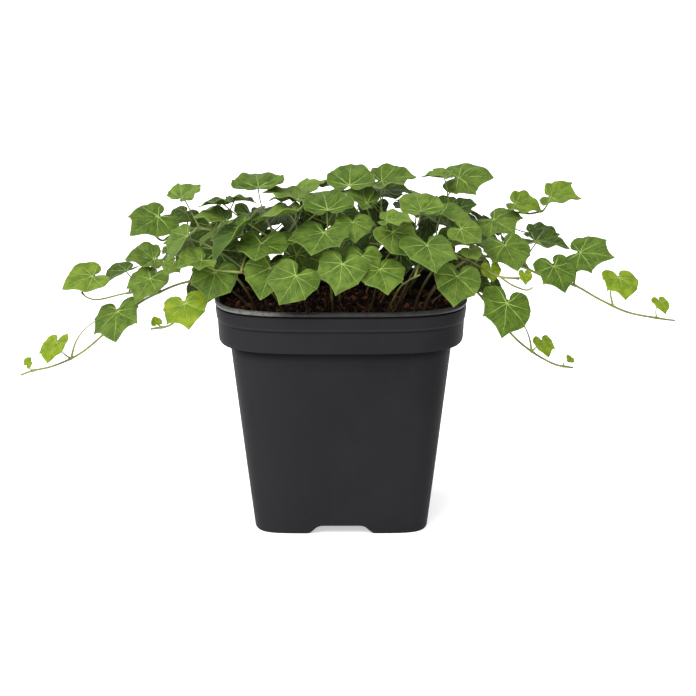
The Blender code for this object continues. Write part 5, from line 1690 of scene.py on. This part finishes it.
def pot_profile():
    """The pot from the outer edge of its base, over the lip, to its inner floor: half the width, the
    exponent of the rounded square and the height of each level."""
    foot = [(BASE_HALF - FOOT_ROUND * (1 - math.sin(turn)), BASE_SQUARE, FOOT_ROUND * (1 - math.cos(turn)))
            for turn in (math.pi / 2 * k / 4 for k in range(5))]
    body = [(BASE_HALF + share * (BODY_TOP_HALF - BASE_HALF),
             BASE_SQUARE + share * (BODY_SQUARE - BASE_SQUARE),
             FOOT_ROUND + share * (SKIRT_BOTTOM + 0.5 * MM - FOOT_ROUND)) for share in (0.25, 0.5, 0.75, 1.0)]
    rim = [
        (SKIRT_HALF - 1.0 * MM, SKIRT_BOTTOM + 0.5 * MM),
        (SKIRT_HALF - 0.3 * MM, SKIRT_BOTTOM),
        (SKIRT_HALF, SKIRT_BOTTOM + 0.5 * MM),
        (SKIRT_HALF + 0.25 * MM, SKIRT_BOTTOM + 3 * MM),
        (SKIRT_HALF + 0.7 * MM, STEP_HEIGHT - 1.2 * MM),
        (SKIRT_HALF + 0.85 * MM, STEP_HEIGHT - 0.2 * MM),
        (STEP_HALF - 0.2 * MM, STEP_HEIGHT + 0.15 * MM),
        (STEP_HALF, STEP_HEIGHT + 0.6 * MM),
        (STEP_HALF + 0.45 * MM, GROOVE_HEIGHT - 3.4 * MM),
        (STEP_HALF + 0.5 * MM, GROOVE_HEIGHT - 0.7 * MM),
        (STEP_HALF - 0.1 * MM, GROOVE_HEIGHT),
    ]
    rim += [(LIP_HALF - LIP_ROUND * (1 - math.cos(turn)), LIP_TOP - LIP_ROUND * (1 - math.sin(turn)))
            for turn in (math.pi * k / 8 for k in range(-3, 9))]
    rim += [
        (LIP_HALF - 2 * LIP_ROUND - 0.1 * MM, POT_HEIGHT - 4 * MM),
        (inner_rim(STEP_HEIGHT), STEP_HEIGHT),
        (inner_rim(SKIRT_BOTTOM), LEDGE_HEIGHT),
    ]
    inside = [(INNER_TOP_HALF, BODY_SQUARE, LEDGE_HEIGHT), (FLOOR_HALF, BASE_SQUARE, FLOOR_TOP)]
    return foot + body + [(half, RIM_SQUARE, z) for half, z in rim] + inside


def cut(thing, cutters):
    """Cuts other objects out of one, and removes them."""
    for cutter in cutters:
        change = thing.modifiers.new("Cut", "BOOLEAN")
        change.operation = "DIFFERENCE"
        change.solver = "EXACT"
        change.object = cutter
    apply_all(thing)
    for cutter in cutters:
        bpy.data.objects.remove(cutter)


def notch_cutter(turn):
    """The channel under the base with rounded shoulders, as a flat outline drawn through the pot."""
    bottom, top = NOTCH_BOTTOM / 2, NOTCH_TOP / 2
    outline = [(-bottom - 3 * MM, -2 * MM), (-bottom - 1.2 * MM, 0), (-bottom + 1.0 * MM, 0.9 * MM),
               (-top - NOTCH_ROUND, FOOT_HEIGHT - 1.0 * MM), (-top, FOOT_HEIGHT - 0.1 * MM),
               (-top + NOTCH_ROUND, FOOT_HEIGHT)]
    outline += [(-x, z) for x, z in reversed(outline)]
    channel = from_points("notch", *loft([[Vector((x, y, z)) for x, z in outline]
                                          for y in (-NOTCH_REACH, NOTCH_REACH)]))
    turn_faces(channel.data)
    channel.rotation_euler.z = turn
    return channel


def drain_cutter(x, y):
    """The round hole in the floor for the water, at its place in drain offsets."""
    deep = FLOOR_TOP + 2 * MM
    bpy.ops.object.select_all(action="DESELECT")
    bpy.ops.mesh.primitive_cylinder_add(vertices=DRAIN_SIDES, radius=DRAIN_RADIUS, depth=deep,
                                        location=(x * DRAIN_OFFSET, y * DRAIN_OFFSET, deep / 2))
    return bpy.context.object


def dress_pot():
    """The moulded pot with its channels and drain holes, and its lip in a shinier material of its own with a
    painted highlight.
    """
    rings = [ring(half, square, z, POT_FINE_SIDES) for half, square, z in pot_profile()]
    pot = from_points("pot_moulded", *loft(rings))
    drains = [drain_cutter(x, y) for x, y in ((0, 0), (1, 0), (-1, 0), (0, 1), (0, -1))]
    cut(pot, [notch_cutter(0), notch_cutter(math.pi / 2)] + drains)
    pot.data.materials.append(pot_material())
    pot.data.materials.append(lip_material())
    for face in pot.data.polygons:
        face.material_index = 1 if face.center.z > LIP_MATERIAL_FROM else 0
    pot.data.shade_smooth()
    pot.data.set_sharp_from_angle(angle=SHARP_EDGE)
    hand_over(pot, "pot_plastic", "pot")


def fine_soil(x, y):
    """The top of the fine bed between the crumbs."""
    return soil_height(x, y) - BED_SUNK + lumps(x, y, BED_LAYERS) * MM


def dress_soil():
    """The filled mix: its lumpy top, and sides that follow the pot's inner wall down to the floor."""
    shares = [1 - k / SOIL_RINGS for k in range(SOIL_RINGS)]
    levels = [(share, 2 + (RIM_SQUARE - 2) * share) for share in shares]
    bed = from_points("soil_bed", *loft(soil_rings(levels, fine_soil, SOIL_FINE_SIDES)))
    give_mark(bed.data, "tone", 0.3)
    # The bed is near black: the peat's own dark brown, darkened further as painted shade under the crown
    bed.data.materials.append(soil_material("potting_mix_bed", rgb(5, 3, 1), rgb(27, 15, 7)))
    bed.data.shade_smooth()
    hand_over(bed, "potting_mix", "soil")


def model_crumb(stretch, jitter):
    """A crumb: a coarse ball, pushed and pulled out of round."""
    bpy.ops.object.select_all(action="DESELECT")
    bpy.ops.mesh.primitive_ico_sphere_add(subdivisions=1, radius=1)
    crumb = bpy.context.object
    bpy.ops.transform.resize(value=stretch)
    bpy.ops.object.transform_apply(scale=True)
    for vertex in crumb.data.vertices:
        vertex.co *= 1 + looks.uniform(-jitter, jitter)
    points = np.array([vertex.co for vertex in crumb.data.vertices])
    faces = np.array([face.vertices[:] for face in crumb.data.polygons])
    bpy.data.objects.remove(crumb)
    return points, faces


def scatter(name, models, spots, material):
    """Copies of the modelled crumbs at their spots, each turned and sized by its own draw."""
    all_points, all_faces, tones = [], [], []
    start = 0
    for place, size in spots:
        points, faces = looks.choice(models)
        turn = np.array(Euler([looks.uniform(0, ROUND) for _ in range(3)]).to_matrix())
        all_points.append(points @ turn.T * size + np.array(place))
        all_faces.append(faces + start)
        tones += [looks.random()] * len(points)
        start += len(points)
    crumbs = from_points(name, np.vstack(all_points).tolist(), np.vstack(all_faces).tolist())
    give_mark(crumbs.data, "tone", tones)
    crumbs.data.materials.append(material)
    hand_over(crumbs, "potting_mix")


def soil_spots(step, low, high, keep):
    """Places over the mix with their sizes, on a grid with each place moved, and kept, by its own draw."""
    edge = soil_edge() - CRUMB_MARGIN
    spots = []
    count = int(edge / step)
    for i in range(-count, count + 1):
        for k in range(-count, count + 1):
            x = (i + looks.uniform(-0.5, 0.5)) * step
            y = (k + looks.uniform(-0.5, 0.5)) * step
            if abs(x / edge) ** RIM_SQUARE + abs(y / edge) ** RIM_SQUARE < 1 and looks.random() < keep:
                size = looks.uniform(low, high)
                spots.append(((x, y, fine_soil(x, y) + CRUMB_UP * size), size))
    return spots


def strew_crumbs():
    """Crumbs all over the mix, lumps of bark here and there, and a little pale grit."""
    balls = [model_crumb(stretch=(1, 0.8, 0.65), jitter=0.28) for _ in range(5)]
    chips = [model_crumb(stretch=(1.9, 0.6, 0.35), jitter=0.2) for _ in range(3)]
    for name, models, step, low, high, keep, dark, light in (
        ("crumbs", balls + balls + chips, CRUMB_STEP, 0.8, 2.3, 1.0, rgb(6, 4, 2), rgb(54, 31, 17)),
        ("lumps", balls + chips, 1.7 * CRUMB_STEP, 1.3, 2.9, 0.42, rgb(20, 11, 6), rgb(142, 86, 60)),
        ("grit", balls, CRUMB_STEP, 0.45, 1.15, 0.10, rgb(120, 84, 62), rgb(190, 160, 142)),
    ):
        spots = soil_spots(step, low * MM, high * MM, keep)
        scatter("soil_" + name, models, spots, soil_material("potting_mix_" + name, dark, light))


def make_floor():
    """A white floor that glows a little, so that it fades into the room."""
    bpy.ops.object.select_all(action="DESELECT")
    bpy.ops.mesh.primitive_plane_add(size=FLOOR_SIZE, location=(0, 0, 0))
    floor = bpy.context.object
    floor.name = "studio_floor"
    paint = Paint("studio_floor_paint", Roughness=0.9, Specular_IOR_Level=0.1, Emission_Strength=0.50,
                  Emission_Color=WHITE)
    floor.data.materials.append(paint.finish(rgb(243, 243, 243)))


def make_camera():
    """The viewer's camera."""
    bpy.ops.object.camera_add(location=VIEWER, rotation=(math.pi / 2 - VIEW_TILT, 0, VIEW_TURN))
    camera = bpy.context.object
    camera.name = "studio_camera"
    camera.data.sensor_width = SENSOR
    camera.data.lens = LENS
    camera.data.clip_end = CAMERA_END
    bpy.context.scene.camera = camera


def make_lights():
    """A large soft key from the upper left, and a white room that is a little brighter on that side."""
    bpy.ops.object.light_add(type="SUN", rotation=(KEY_TILT, 0, KEY_TURN))
    key = bpy.context.object
    key.name = "studio_key"
    key.data.energy = KEY_ENERGY
    key.data.angle = KEY_SPREAD
    world = bpy.data.worlds.new("studio")
    world.use_nodes = True
    tree = world.node_tree
    way = tree.nodes.new("ShaderNodeTexCoord")
    across = tree.nodes.new("ShaderNodeSeparateXYZ")
    strength = tree.nodes.new("ShaderNodeMath")
    strength.operation = "MULTIPLY_ADD"
    strength.inputs[1].default_value = ROOM_SLOPE
    strength.inputs[2].default_value = ROOM_MIDDLE
    tree.links.new(way.outputs["Generated"], across.inputs[0])
    tree.links.new(across.outputs["X"], strength.inputs[0])
    tree.links.new(strength.outputs[0], tree.nodes["Background"].inputs["Strength"])
    tree.nodes["Background"].inputs["Color"].default_value = WHITE
    bpy.context.scene.world = world
    bpy.context.scene.view_settings.view_transform = "Standard"


# The vines grow in the same order as in the part
looks = random.Random(LOOKS_SEED)
vines = []
remember("pot", "pot", loft(pot_rings()))
grow_runners()
crown_vines()
remember("soil", "soil", plain_soil())
grow_seen_leaves()
grow_trailing_leaves()
grow_gap_leaves()
grow_back_leaves()
vines = [vine for vine in vines if vine.leaves]

make_camera()
make_floor()
make_lights()

blade_models = {name: model_blade("blade_" + name, form) for name, form in LEAF_FORMS.items()}
leaf_materials = [leaf_material("ivy_leaf_top", False), leaf_material("ivy_leaf_under", True)]
stem_green = stem_material()
for growing in vines:
    vine_leaves(growing)
    vine_stems(growing)
for model in blade_models.values():
    bpy.data.objects.remove(model["object"])

dress_pot()
dress_soil()
strew_crumbs()
